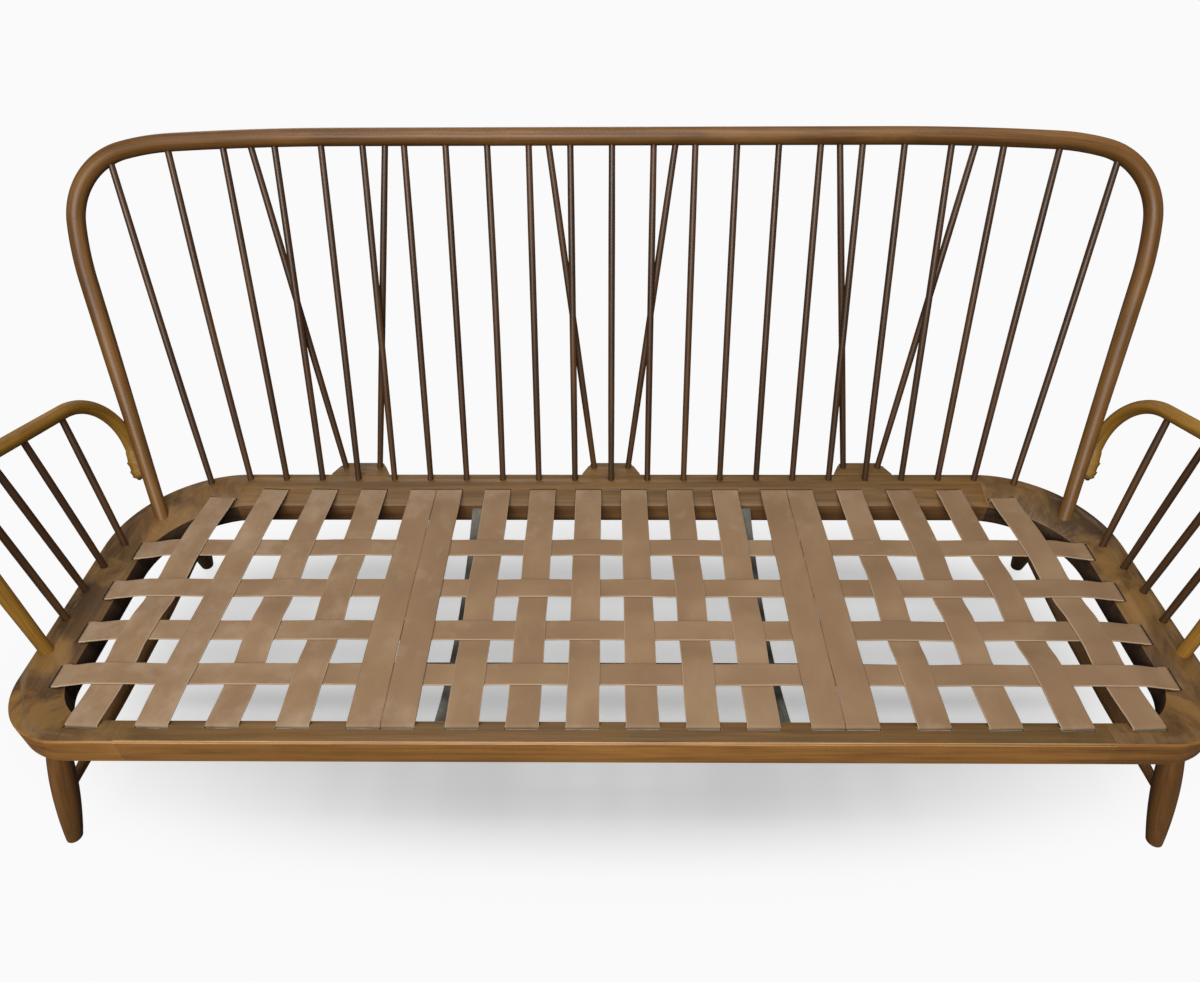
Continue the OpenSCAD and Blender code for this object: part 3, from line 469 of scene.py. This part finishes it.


# the top colours below are partly wear and dust and partly a painted sheen on the upward faces
frameLook = dict(base="#875c2c", dark="#523417", light="#a4743a", fleckColor="#3e260d", fleck=0.25,
                 wear=0.18, wearColor="#a87f46", roughness=0.5, coat=0.08, specular=0.3, bump=0.10,
                 topSheenAndWearColor="#574326", topSheenAndWearDark="#382a16", topSheenAndWearAmount=0.9, endFlatSheenAndWearLight="#584a38",
                 endFlatSheenAndWearDark="#3b3124", dishTop="#644a25", dishDark="#241809")
woods = {
    "railFront": woodMaterial("satin_stained_beech_front_rail", dict(frameLook, grainAxis="X")),
    "railSide": woodMaterial("satin_stained_beech_side_rail", dict(frameLook, grainAxis="Y")),
    # darker matte wood for the faces inside the seat opening and underneath: painted shade
    "inside": woodMaterial("beech_inside_painted_shade", dict(
        base="#37261a", dark="#231811", light="#4d3726", fleckColor="#1a120c", fleck=0.2,
        roughness=0.8, coat=0.0, specular=0.2, bump=0.15, grainAxis="X")),
    "rearInside": woodMaterial("beech_rear_inside_painted_shade", dict(
        base="#5e4024", dark="#432c18", light="#745130", fleckColor="#2e1e10", fleck=0.2,
        roughness=0.7, coat=0.0, specular=0.2, bump=0.15, grainAxis="X")),
    # a paler colour for the front rail's bevel: partly rubbed wear and partly a painted highlight line along the edge
    "arris": woodMaterial("beech_arris_wear_and_painted_highlight", dict(frameLook, base="#b39164", dark="#7a5c36",
                                                     light="#d8bd95", topSheenAndWearAmount=0.0, grainAxis="X")),
    "bow": woodMaterial("satin_stained_ash_bow", dict(
        base="#5d3d1a", dark="#3b240e", light="#765126", fleckColor="#38220e", fleck=0.1, wear=0.25,
        wearColor="#8a6532", roughness=0.46, coat=0.08, specular=0.28, bump=0.04)),
    "arm": woodMaterial("rubbed_golden_ash_arm_bow", dict(
        base="#7b571c", dark="#4f3414", light="#96702e", fleckColor="#3c280f", fleck=0.1, wear=0.3,
        wearColor="#a98338", roughness=0.48, coat=0.06, specular=0.25, bump=0.04)),
    "stick": woodMaterial("satin_stained_beech_stick", dict(
        base="#3b2511", dark="#26160a", light="#553719", fleckColor="#28170a", fleck=0.08,
        roughness=0.42, coat=0.1, specular=0.36, bump=0.03)),
    "leg": woodMaterial("satin_stained_beech_leg", dict(
        base="#684521", dark="#472d14", light="#825830", fleckColor="#301d0d", fleck=0.18, wear=0.15,
        wearColor="#8d6236", roughness=0.48, coat=0.1, specular=0.3, bump=0.05)),
    "cross": woodMaterial("bare_weathered_beech", dict(
        base="#55524a", dark="#3d3b35", light="#6b675b", fleckColor="#2e2c27", fleck=0.3,
        roughness=0.72, coat=0.0, bump=0.25, grainAxis="Y")),
}
webbingLook = dict(base="#785e44", dark="#71583f", light="#80674d", cordColor="#866c54", bloom=0.36,
                   bloomColor="#a3937f", paleEdgeAndHighlightColor="#b5a188", roughness=0.7)
webbingMat = webbingMaterial("dusty_rubber_webbing", webbingLook)
steelMat = steelMaterial("zinc_plated_steel", dict(dark="#8a8a86", light="#b2b2ac", roughness=0.32))
print("stage: materials ready")

# rails keep their CAD shape
# a copy of each rail gets softened arrises, so its edges catch the light as sanded wood does


seatMiddle = (seat["depth"] - overallDepth) / 2000


def softened(node, material, width, arrisWearAndHighlight=None):
    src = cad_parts[node]
    mesh = src.data.copy()
    mesh.name = node + "_sanded"
    bm = bmesh.new()
    bm.from_mesh(mesh)
    bmesh.ops.remove_doubles(bm, verts=bm.verts, dist=1e-6)
    bmesh.ops.dissolve_limit(bm, angle_limit=math.radians(0.3), verts=bm.verts, edges=bm.edges,
                             delimit={"SHARP"})
    # the glued shoulders between rails stay tight, every other edge is eased
    eased = bm.edges.layers.float.new("bevel_weight_edge")
    for e in bm.edges:
        joint = seat["width"] / 2 - seat["frontCorner" if e.verts[0].co.y < seatMiddle else "rearCorner"]
        atJoint = all(abs(abs(w.co.x) * 1000 - joint) < 0.6 for w in e.verts)
        if len(e.link_faces) == 2 and e.calc_face_angle() > math.radians(32) and not (arrisWearAndHighlight and atJoint):
            e[eased] = 1
    bm.to_mesh(mesh)
    bm.free()
    mesh.materials.clear()
    mesh.materials.append(material)
    for poly in mesh.polygons:
        poly.use_smooth = True
        poly.material_index = 0
    if arrisWearAndHighlight:
        # the faces towards the seat opening and the faces below get a darker matte wood, which is painted shade
        mesh.materials.append(arrisWearAndHighlight)
        mesh.materials.append(woods["rearInside" if node == "rear_rail" else "inside"])
        mesh.materials.append(woods["railFront"])
        for poly in mesh.polygons:
            x, y = poly.center[0], poly.center[1] - seatMiddle
            inward = poly.normal[0] * x + poly.normal[1] * y * 2.4
            if poly.normal[2] < -0.9 or (abs(poly.normal[2]) < 0.3 and inward < -0.02):
                poly.material_index = 2
            elif poly.normal[1] < -0.6:
                poly.material_index = 3
    obj = bpy.data.objects.new(node + "_sanded", mesh)
    bpy.context.scene.collection.objects.link(obj)
    bevel = obj.modifiers.new("arris", "BEVEL")
    bevel.width = width / 1000
    bevel.segments = 2
    bevel.limit_method = "WEIGHT"
    bevel.harden_normals = True
    # the front rail's bevel faces take the paler arris colour, partly rubbed wear and partly a painted highlight
    if node == "front_rail":
        bevel.material = 1
    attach(obj, "root")
    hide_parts(node)
    return obj


railSoftness = dict(front_rail=1.0, rear_rail=1.0, left_side_rail=1.0, right_side_rail=1.0)
for node, width in railSoftness.items():
    softened(node, woods["railSide" if "side" in node else "railFront"], width,
             woods["arris"])
for node in ("left_cross_rail", "right_cross_rail"):
    softened(node, woods["cross"], 1.0)
for node in ("bobtail_left", "bobtail_centre", "bobtail_right"):
    softened(node, woods["railFront"], 1.5)
for node in ("webbing_clips", "arm_screws"):
    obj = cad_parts[node]
    obj.data.materials.clear()
    obj.data.materials.append(steelMat)
print("stage: rails ready")

# back bow
half = bowHalfPath()
runs = []
for x, s in half:
    grow = smooth((s + bow["sink"]) / (legS + bow["sink"])) if s < legS else 1
    runs.append((x, s, (bow["footDiameter"] + (bow["diameter"] - bow["footDiameter"]) * grow) / 2))
path = runs + [(-x, s, r) for x, s, r in reversed(runs[:-1])]
verts, faces, grain = sweep([onBow(x, s) for x, s, r in path], [r for x, s, r in path], 28, 11)
hoop = newObject("bent_back_bow", verts, faces, grain, woods["bow"], ["back_hoop"])
flatEnds(hoop)


# straight turned pieces
def rod(name, p, q, sinkA, sinkB, mid, end, endRun, sides, seed, material, node, bent=0):
    # a stick a little thinner at its ends, from sinkA before p to sinkB past q, bent mm out of line
    u = (q - p).normalized()
    a, b = p - u * sinkA, q + u * sinkB
    length = (b - a).length
    pts, radii = [], []
    steps = 24
    for n in range(steps + 1):
        t = n / steps
        d = min(t, 1 - t) * length
        pts.append(a.lerp(b, t) + Vector((bent * math.sin(math.pi * t) ** 1.2, 0, 0)))
        radii.append((end + (mid - end) * smooth(d / endRun)) / 2)
    v, f, g = sweep(pts, radii, sides, seed)
    obj = newObject(name, v, f, g, material, [node])
    flatEnds(obj)
    return obj


bentBy = {-10: -2.6, -3: 1.6, -11: -1.6, 11: 1.6, 8: 1.0}  # mm that single sticks bow sideways
for n in range(-11, 12):
    rod("back_stick_turned_%d" % (n + 12), stickFoot(n), stickTop(n), stick["sink"], 0,
        stick["diameter"], stick["endDiameter"], 170, 16, 100 + n, woods["stick"],
        "back_stick_%d" % (n + 12), bentBy.get(n, 0))
for k in range(6):
    rod("brace_stick_turned_%d" % (k + 1), braceFoot(k), braceTop(k), brace["sink"], 0,
        brace["diameter"], brace["endDiameter"], 170, 16, 200 + k, woods["stick"],
        "brace_stick_%d" % (k + 1))
for side, sideName in ((-1, "left"), (1, "right")):
    for k in range(4):
        p = Vector((armStick["footX"][k], armStick["footY"][k], 0))
        q = armPoint(armStick["topP"][k], armHeight(armStick["topP"][k]))
        p.x *= side
        q.x *= side
        rod("%s_arm_stick_turned_%d" % (sideName, k + 1), p, q, armStick["sink"], 0,
            armStick["diameter"], armStick["endDiameter"], 90, 16, 300 + side * 10 + k,
            woods["stick"], "%s_arm_stick_%d" % (sideName, k + 1))
print("stage: bow and sticks ready")


# arm bows
armRuns = armPath()
armTotal = sum(math.dist(armRuns[i], armRuns[i + 1]) for i in range(len(armRuns) - 1))


def armRadius(run):
    rise = arm["rise"] + arm["sink"]
    if run < rise:
        return (arm["footDiameter"] + (arm["diameter"] - arm["footDiameter"]) * smooth(run / rise)) / 2
    left = armTotal - run
    return arm["diameter"] / 2 * (1 - 0.06 * (1 - smooth(left / arm["tail"])))


def carvedTail(i, run, off, tangent):
    # the last part of the arm bow is cut back in small steps on its outer side, and rounded over
    left = armTotal - run
    outward = Vector((1, -0.25, 0)).normalized()
    facing = off.normalized().dot(outward)
    # it is flattened, so it widens round the front of the back bow
    hug = off.normalized().dot(Vector((-0.8, -0.6, 0)))
    if hug > 0:
        off = off * (1 + 0.55 * hug * smooth((55 - left) / 25))
    if left < 58 and facing > 0:
        step = (left % 17) / 17
        notch = 2.4 * smooth((1 - step) * 1.6) * smooth((58 - left) / 6) * (left > 6)
        fuller = 4.4 * smooth((58 - left) / 22)
        off = off * (1 + (fuller - notch) / 12 * facing ** 0.7)
    if left < 10:
        off = off * math.sqrt(max(1 - ((10 - left) / 10.5) ** 2, 0.02))
    return off


for side, sideName in ((-1, "left"), (1, "right")):
    pts, radii, run = [], [], 0
    for i, (p, q) in enumerate(armRuns):
        if i:
            run += math.dist(armRuns[i - 1], armRuns[i])
        pts.append(armPoint(p, q))
        radii.append(armRadius(run))
    v, f, g = sweep(pts, radii, 24, 400 + side, carvedTail)
    if side < 0:
        v, f = mirrored(v, f)
    obj = newObject("%s_bent_arm_bow" % sideName, v, f, g, woods["arm"],
                    ["%s_arm_bow" % sideName])
    flatEnds(obj)
print("stage: arms ready")


# legs and stretchers
def legRadius(t):
    if t < leg["widestAt"]:
        return leg["top"] / 2 + (leg["widest"] - leg["top"]) / 2 * sinD(90 * max(t, 0) / leg["widestAt"])
    turn = 90 * (t - leg["widestAt"]) / (leg["taperEnd"] - leg["widestAt"])
    return leg["foot"] / 2 + (leg["widest"] - leg["foot"]) / 2 * cosD(min(turn, 89.9)) ** leg["taperPower"]


def turnedLeg(name, top, foot, seed, node, side):
    p = Vector((top[0] * side, top[1], -seat["rail"]))
    q = Vector((foot[0] * side, foot[1], -seat["top"]))
    u = (q - p).normalized()
    length = (q - p).length
    pts, radii = [], []
    for n in range(47):
        d = -8 + (length + 16) * n / 46
        pts.append(p + u * d)
        radii.append(legRadius(d / length))
    v, f, g = sweep(pts, radii, 28, seed)
    mesh = bpy.data.meshes.new(name)
    mesh.from_pydata([tuple(c) for c in v], [], f)
    layer = mesh.attributes.new("grain", "FLOAT_VECTOR", "POINT")
    layer.data.foreach_set("vector", np.array(g, np.float32).ravel())
    bm = bmesh.new()
    bm.from_mesh(mesh)
    cut = bmesh.ops.bisect_plane(bm, geom=bm.verts[:] + bm.edges[:] + bm.faces[:], dist=1e-6,
                                 plane_co=(0, 0, 0.0), plane_no=(0, 0, -1), clear_outer=True)
    ring = [e for e in cut["geom_cut"] if isinstance(e, bmesh.types.BMEdge)]
    bmesh.ops.contextual_create(bm, geom=ring)
    bmesh.ops.bevel(bm, geom=[e for e in bm.edges if all(abs(w.co.z) < 1e-5 for w in e.verts)],
                    offset=0.0012, segments=2, affect="EDGES", profile=0.5)
    for w in bm.verts:
        w.co.z = max(w.co.z, 0)
    bm.to_mesh(mesh)
    bm.free()
    for poly in mesh.polygons:
        poly.use_smooth = True
    mesh.materials.append(woods["leg"])
    obj = bpy.data.objects.new(name, mesh)
    bpy.context.scene.collection.objects.link(obj)
    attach(obj, "root")
    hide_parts(node)
    flatEnds(obj)
    return obj


joints = {}
for side, sideName in ((-1, "left"), (1, "right")):
    turnedLeg("front_%s_leg_turned" % sideName, leg["frontTop"], leg["frontFoot"], 500 + side,
              "front_%s_leg" % sideName, side)
    turnedLeg("rear_%s_leg_turned" % sideName, leg["rearTop"], leg["rearFoot"], 510 + side,
              "rear_%s_leg" % sideName, side)
    down = (seat["top"] - seat["rail"] - stretcher["height"]) / (seat["top"] - seat["rail"])
    z = stretcher["height"] - seat["top"]
    front = Vector((*[(a + (b - a) * down) for a, b in zip(leg["frontTop"], leg["frontFoot"])], z))
    rear = Vector((*[(a + (b - a) * down) for a, b in zip(leg["rearTop"], leg["rearFoot"])], z))
    joints[side] = front.lerp(rear, stretcher["longAt"])
    for end in (front, rear):
        end.x *= side
    joints[side].x *= side
    rod("%s_side_stretcher_turned" % sideName, front, rear, -5, -5, stretcher["diameter"],
        stretcher["end"], 190, 20, 520 + side, woods["leg"], "%s_side_stretcher" % sideName)
rod("long_stretcher_turned", joints[-1], joints[1], -5, -5, stretcher["diameter"],
    stretcher["longEnd"], 560, 20, 530, woods["leg"], "long_stretcher")
print("stage: legs ready")


# webbing
def outNumber(i): return 10 - i if i <= 9 else i - 9


def strapFromMiddle(m, pitch):
    if m <= 3:
        return (m - 0.5) * webbing["midPitch"]
    if m <= 5:
        return webbing["pairX"] + (m - 4.5) * webbing["pairPitch"]
    return webbing["pairX"] + webbing["pairPitch"] / 2 + (m - 5) * pitch


def strapX(i, d):
    side = -1 if i <= 9 else 1
    a = side * strapFromMiddle(outNumber(i), webbing["outerFront"])
    b = side * strapFromMiddle(outNumber(i), webbing["outerRear"])
    return a + (b - a) * (d - webbing["frontEnd"]) / (webbing["rearEnd"] - webbing["frontEnd"])


def rowDepth(j):
    # rows are numbered from the back and lie closer together towards the front
    return (webbing["rowFirst"] - (j - 1) * webbing["rowPitch"]
            + webbing["rowCloser"] * (j - 1) * (j - 2) / 2)


def sideEnd(j): return webbing["sideEnd"] - (webbing["rowStep"] if j == 1 else 0)


def onTop(i, j):
    if i == 2 or outNumber(i) in (4, 5):
        return True
    return (i + j) % 2 == 0 if i <= 4 else (i + j) % 2 == 1


def dishAt(run): return -seat["slope"] * max(run, 0)


halfT = webbing["thickness"] / 2
frontRest = dishAt(webbing["frontEnd"] - seat["flatFront"]) + halfT + webbing["rest"]


def sideRest(j):
    return dishAt(seat["width"] / 2 - seat["flatSide"] - sideEnd(j)) + halfT + webbing["rest"]


def rearRest(i):
    more = webbing["outerRise"] if outNumber(i) == 9 else 0
    return (dishAt(seat["depth"] - seat["flatRear"] - webbing["rearEnd"] + more) + halfT
            + webbing["rest"])


def follow(points, step=3.0):
    # smooth path through (run, height) corners: each slope becomes an S curve
    out = []
    for (a, za), (b, zb) in zip(points, points[1:]):
        count = max(int((b - a) / step), 1)
        for n in range(count):
            t = n / count
            out.append((a + (b - a) * t, za + (zb - za) * smooth(t)))
    out.append(points[-1])
    return out


def ribbon(origin, along, across, path, width, seed, flare, dustAt, pale=1.0):
    # one strap: a rounded strip along the path, its ends bent down into their slots
    # gives metres, faces, grain, edge mask and dust
    rnd = random.Random(seed)
    shift = [rnd.uniform(0, 9) for _ in range(3)]
    up = Vector((0, 0, 1))
    t = webbing["thickness"]
    bend = 2.2
    rings = []
    path = [(path[0][0] + webbing["endShow"], path[0][1])] + path[1:-1] + [
        (path[-1][0] - webbing["endShow"], path[-1][1])]
    first, last = path[0], path[-1]
    # tab up from its slot, round the bend, along the strap, and down again
    rings.append((first[0] + t / 2, first[1] - webbing["tab"] - t / 2 + 1.0, 90))
    rings.append((first[0] + t / 2, first[1] - bend, 90))
    for a in (70, 45, 20):
        rings.append((first[0] + t / 2 + bend * (1 - sinD(a)), first[1] - bend + bend * cosD(a), a))
    for run, z in path:
        if first[0] + bend + t / 2 < run < last[0] - bend - t / 2:
            rings.append((run, z, 0))
    for a in (20, 45, 70):
        rings.append((last[0] - t / 2 - bend * (1 - sinD(a)), last[1] - bend + bend * cosD(a), -a))
    rings.append((last[0] - t / 2, last[1] - bend, -90))
    rings.append((last[0] - t / 2, last[1] - webbing["tab"] - t / 2 + 1.0, -90))
    edge = 0.7
    half = width / 2
    profile = [(-half, -t / 2 + edge, 1), (-half, t / 2 - edge, 1), (-half + edge, t / 2, 0.75),
               (-half + 2.4, t / 2, 0), (-half * 0.6, t / 2, 0), (-half * 0.2, t / 2, 0),
               (half * 0.2, t / 2, 0), (half * 0.6, t / 2, 0), (half - 2.4, t / 2, 0),
               (half - edge, t / 2, 0.75), (half, t / 2 - edge, 1), (half, -t / 2 + edge, 1),
               (half - edge, -t / 2, 0.75), (half - 2.4, -t / 2, 0), (0, -t / 2, 0),
               (-half + 2.4, -t / 2, 0), (-half + edge, -t / 2, 0.75)]
    verts, faces, grain, edges, dust = [], [], [], [], []
    count = len(profile)
    for run, z, a in rings:
        fade = min(run - first[0], last[0] - run)
        wide = 1 + flare / width * smooth((15 - fade) / 3) * (1 if abs(a) < 60 else 0)
        wander = 0.35 * math.sin(run / 61 + shift[0]) + 0.2 * math.sin(run / 23 + shift[1])
        wander *= smooth(fade / 40)
        normal = up * cosD(a) - along * sinD(a)
        for w, h, e in profile:
            p = origin + along * run + up * z + across * (w * wide + wander) + normal * h
            verts.append(place(p))
            grain.append(((w + shift[0] * 100) / 1000, (h + shift[1] * 100) / 1000,
                          (run + shift[2] * 100) / 1000))
            edges.append(e * pale)
            dust.append(dustAt(p, fade))
    for r in range(len(rings) - 1):
        for k in range(count):
            k2 = (k + 1) % count
            faces.append((r * count + k, (r + 1) * count + k, (r + 1) * count + k2, r * count + k2))
    faces.append(tuple(range(count)))
    faces.append(tuple((len(rings) - 1) * count + k for k in range(count - 1, -1, -1)))
    return verts, faces, grain, edges, dust


def dustAt(p, fade):
    # bloom is heavier towards the left of the seat and where the straps were handled at their ends
    left = smooth((-p[0] + 100) / 900)
    back = smooth((p[1] - 300) / 300)
    return min(0.30 + 0.45 * left + 0.22 * back + 0.25 * smooth((60 - fade) / 60), 1)


def strapObject(name, straps, node):
    verts, faces, grain, edges, dust = [], [], [], [], []
    for v, f, g, e, d in straps:
        base = len(verts)
        verts += v
        faces += [tuple(base + i for i in face) for face in f]
        grain += g
        edges += e
        dust += d
    obj = newObject(name, verts, faces, grain, webbingMat, [node])
    for label, values in (("edge", edges), ("dust", dust)):
        layer = obj.data.attributes.new(label, "FLOAT", "POINT")
        layer.data.foreach_set("value", np.array(values, np.float32))
    bm = bmesh.new()
    bm.from_mesh(obj.data)
    bmesh.ops.recalc_face_normals(bm, faces=bm.faces)
    bm.to_mesh(obj.data)
    bm.free()
    flatEnds(obj, 60)
    return obj


foreAft = []
halfFlat = webbing["crossWidth"] / 2 + webbing["flat"]
for i in range(1, webbing["straps"] + 1):
    x0, x1 = strapX(i, webbing["frontEnd"]), strapX(i, webbing["rearEnd"])
    turn = math.atan((x0 - x1) / (webbing["rearEnd"] - webbing["frontEnd"]))
    end = webbing["rearEnd"] - (webbing["outerStep"] if outNumber(i) == 9 else 0)
    last = (end - webbing["frontEnd"]) / math.cos(turn)
    points = [(0, frontRest), (webbing["endRun"], frontRest)]
    for j in range(webbing["rows"], 0, -1):
        z = webbing["level"] + (webbing["weave"] if onTop(i, j) else -webbing["weave"])
        for e in (-halfFlat, halfFlat):
            points.append(((rowDepth(j) - webbing["frontEnd"]) / math.cos(turn) + e, z))
    points += [(last - webbing["endRun"], rearRest(i)), (last, rearRest(i))]
    # the paired middle straps get less of the pale edge colour, so the gap between each pair reads darker, as painted
    # shade
    foreAft.append(ribbon(Vector((x0, webbing["frontEnd"], 0)),
                          Vector((-math.sin(turn), math.cos(turn), 0)),
                          Vector((math.cos(turn), math.sin(turn), 0)), follow(points),
                          webbing["width"] + (webbing["pairMore"] if outNumber(i) in (4, 5) else 0),
                          600 + i, 0, dustAt, 0.35 if outNumber(i) in (4, 5) else 1.0))
strapObject("woven_straps_front_to_back", foreAft, "webbing_fore_aft")

across = []
for j in range(1, webbing["rows"] + 1):
    reachOut, rest = sideEnd(j), sideRest(j)
    points = [(0, rest), (webbing["endRun"], rest)]
    reach = webbing["width"] / 2 + webbing["flat"]
    for i in range(1, webbing["straps"] + 1):
        z = webbing["level"] + (-webbing["crossWeave"] if onTop(i, j) else webbing["crossWeave"])
        at = reachOut + strapX(i, rowDepth(j))
        if i not in (6, 14):
            points.append((at - reach, z))
        if i not in (5, 13):
            points.append((at + reach, z))
    last = 2 * reachOut
    points += [(last - webbing["endRun"], rest), (last, rest)]
    across.append(ribbon(Vector((-reachOut, rowDepth(j), 0)), Vector((1, 0, 0)),
                         Vector((0, 1, 0)), follow(points), webbing["crossWidth"], 700 + j, 3, dustAt))
strapObject("woven_straps_side_to_side", across, "webbing_cross")
print("stage: webbing ready")

# floor, world, lights, camera
studio = dict(bounce=0.16, floorColor=0.92, floorLift=0.40, white=0.955, farFrom=0.52, farTo=0.95,
              world=0.18, key=45.0, top=25.0, fill=112.0, rim=17.0)
floorMat, tree, shader = newMaterial("pale_studio_floor")
shader.inputs["Base Color"].default_value = (*[studio["bounce"]] * 3, 1)
shader.inputs["Roughness"].default_value = 0.9
shader.inputs["Specular IOR Level"].default_value = 0.0
out = next(n for n in tree.nodes if n.type == "OUTPUT_MATERIAL")
seen = addNode(tree, "ShaderNodeBsdfDiffuse", {"Color": (*[studio["floorColor"]] * 3, 1)})
lift = addNode(tree, "ShaderNodeEmission", {"Color": (1, 1, 1, 1), "Strength": studio["floorLift"]})
both = addNode(tree, "ShaderNodeAddShader", {0: seen.outputs[0], 1: lift.outputs[0]})
white = addNode(tree, "ShaderNodeEmission", {"Color": (1, 1, 1, 1), "Strength": studio["white"]})
spot = addNode(tree, "ShaderNodeNewGeometry").outputs["Position"]
away = addNode(tree, "ShaderNodeVectorMath", {0: stretched(tree, spot, (0.74, 1.72, 1))},
               operation="LENGTH").outputs["Value"]
far = addNode(tree, "ShaderNodeMapRange", {0: away, 1: studio["farFrom"], 2: studio["farTo"], 3: 0.0, 4: 1.0})
far.interpolation_type = "SMOOTHSTEP"
shown = addNode(tree, "ShaderNodeMixShader", {0: far.outputs[0], 1: both.outputs[0], 2: white.outputs[0]})
ray = addNode(tree, "ShaderNodeLightPath")
pick = addNode(tree, "ShaderNodeMixShader",
               {0: ray.outputs["Is Camera Ray"], 1: shader.outputs[0], 2: shown.outputs[0]})
tree.links.new(pick.outputs[0], out.inputs[0])
bpy.ops.mesh.primitive_plane_add(size=60, location=(0, 0, 0))
floor = bpy.context.object
floor.name = "studio_floor"
floor.data.materials.append(floorMat)

world = bpy.data.worlds.new("soft_white_room")
bpy.context.scene.world = world
world.use_nodes = True
tree = world.node_tree
tree.nodes.clear()
ray = addNode(tree, "ShaderNodeLightPath")
lit = addNode(tree, "ShaderNodeBackground", {"Color": (1, 1, 1, 1), "Strength": studio["world"]})
seen = addNode(tree, "ShaderNodeBackground", {"Color": (*[studio["white"]] * 3, 1), "Strength": 1.0})
pick = addNode(tree, "ShaderNodeMixShader", {0: ray.outputs["Is Camera Ray"], 1: lit.outputs[0],
                                             2: seen.outputs[0]})
out = addNode(tree, "ShaderNodeOutputWorld", {0: pick.outputs[0]})


def softbox(name, location, target, size, power):
    light = bpy.data.lights.new(name, "AREA")
    light.shape = "RECTANGLE"
    light.size, light.size_y = size
    light.energy = power
    obj = bpy.data.objects.new(name, light)
    obj.location = location
    look = Vector(target) - Vector(location)
    obj.rotation_euler = look.to_track_quat("-Z", "Y").to_euler()
    bpy.context.scene.collection.objects.link(obj)
    return obj


softbox("overhead_softbox", (0.0, -0.50, 3.0), (0, -0.25, 0.3), (3.0, 1.1), studio["key"])
topFill = softbox("top_fill", (0.0, 0.4, 3.0), (0, 0, 0.3), (3.6, 2.4), studio["top"])
frontFill = softbox("front_fill", (-0.6, -2.7, 2.3), (0, 0, 0.3), (2.2, 1.0), studio["fill"])
# the fills are masked off the floor, as black cards under them would do
notOnFloor = bpy.data.collections.new("not_lit_by_the_fills")
notOnFloor.objects.link(floor)
notOnFloor.collection_objects[0].light_linking.link_state = "EXCLUDE"
rearFill = softbox("rear_fill", (-0.8, 2.8, 1.5), (0, 0.2, 0.5), (2.4, 1.4), studio["rim"])
for light in (topFill, frontFill, rearFill):
    light.light_linking.receiver_collection = notOnFloor

# the photograph's viewing angle
view = dict(lens=24.96, pitch=40.82, yaw=0.61, roll=-0.36, side=-8.6, height=1348.7, ahead=655.8,
            shift=0.0)
camData = bpy.data.cameras.new("camera")
camera = bpy.data.objects.new("camera", camData)
bpy.context.scene.collection.objects.link(camera)
camData.sensor_fit = "HORIZONTAL"
camData.sensor_width = 36
camData.lens = view["lens"]
camData.shift_x = view["shift"]
camera.location = (view["side"] / 1000, (-overallDepth / 2 - view["ahead"]) / 1000,
                   view["height"] / 1000)
camera.rotation_euler = (Matrix.Rotation(math.radians(view["yaw"]), 3, "Z")
                         @ Matrix.Rotation(math.radians(90 - view["pitch"]), 3, "X")
                         @ Matrix.Rotation(math.radians(view["roll"]), 3, "Z")).to_euler()
bpy.context.scene.camera = camera
bpy.context.scene.view_settings.view_transform = "Standard"
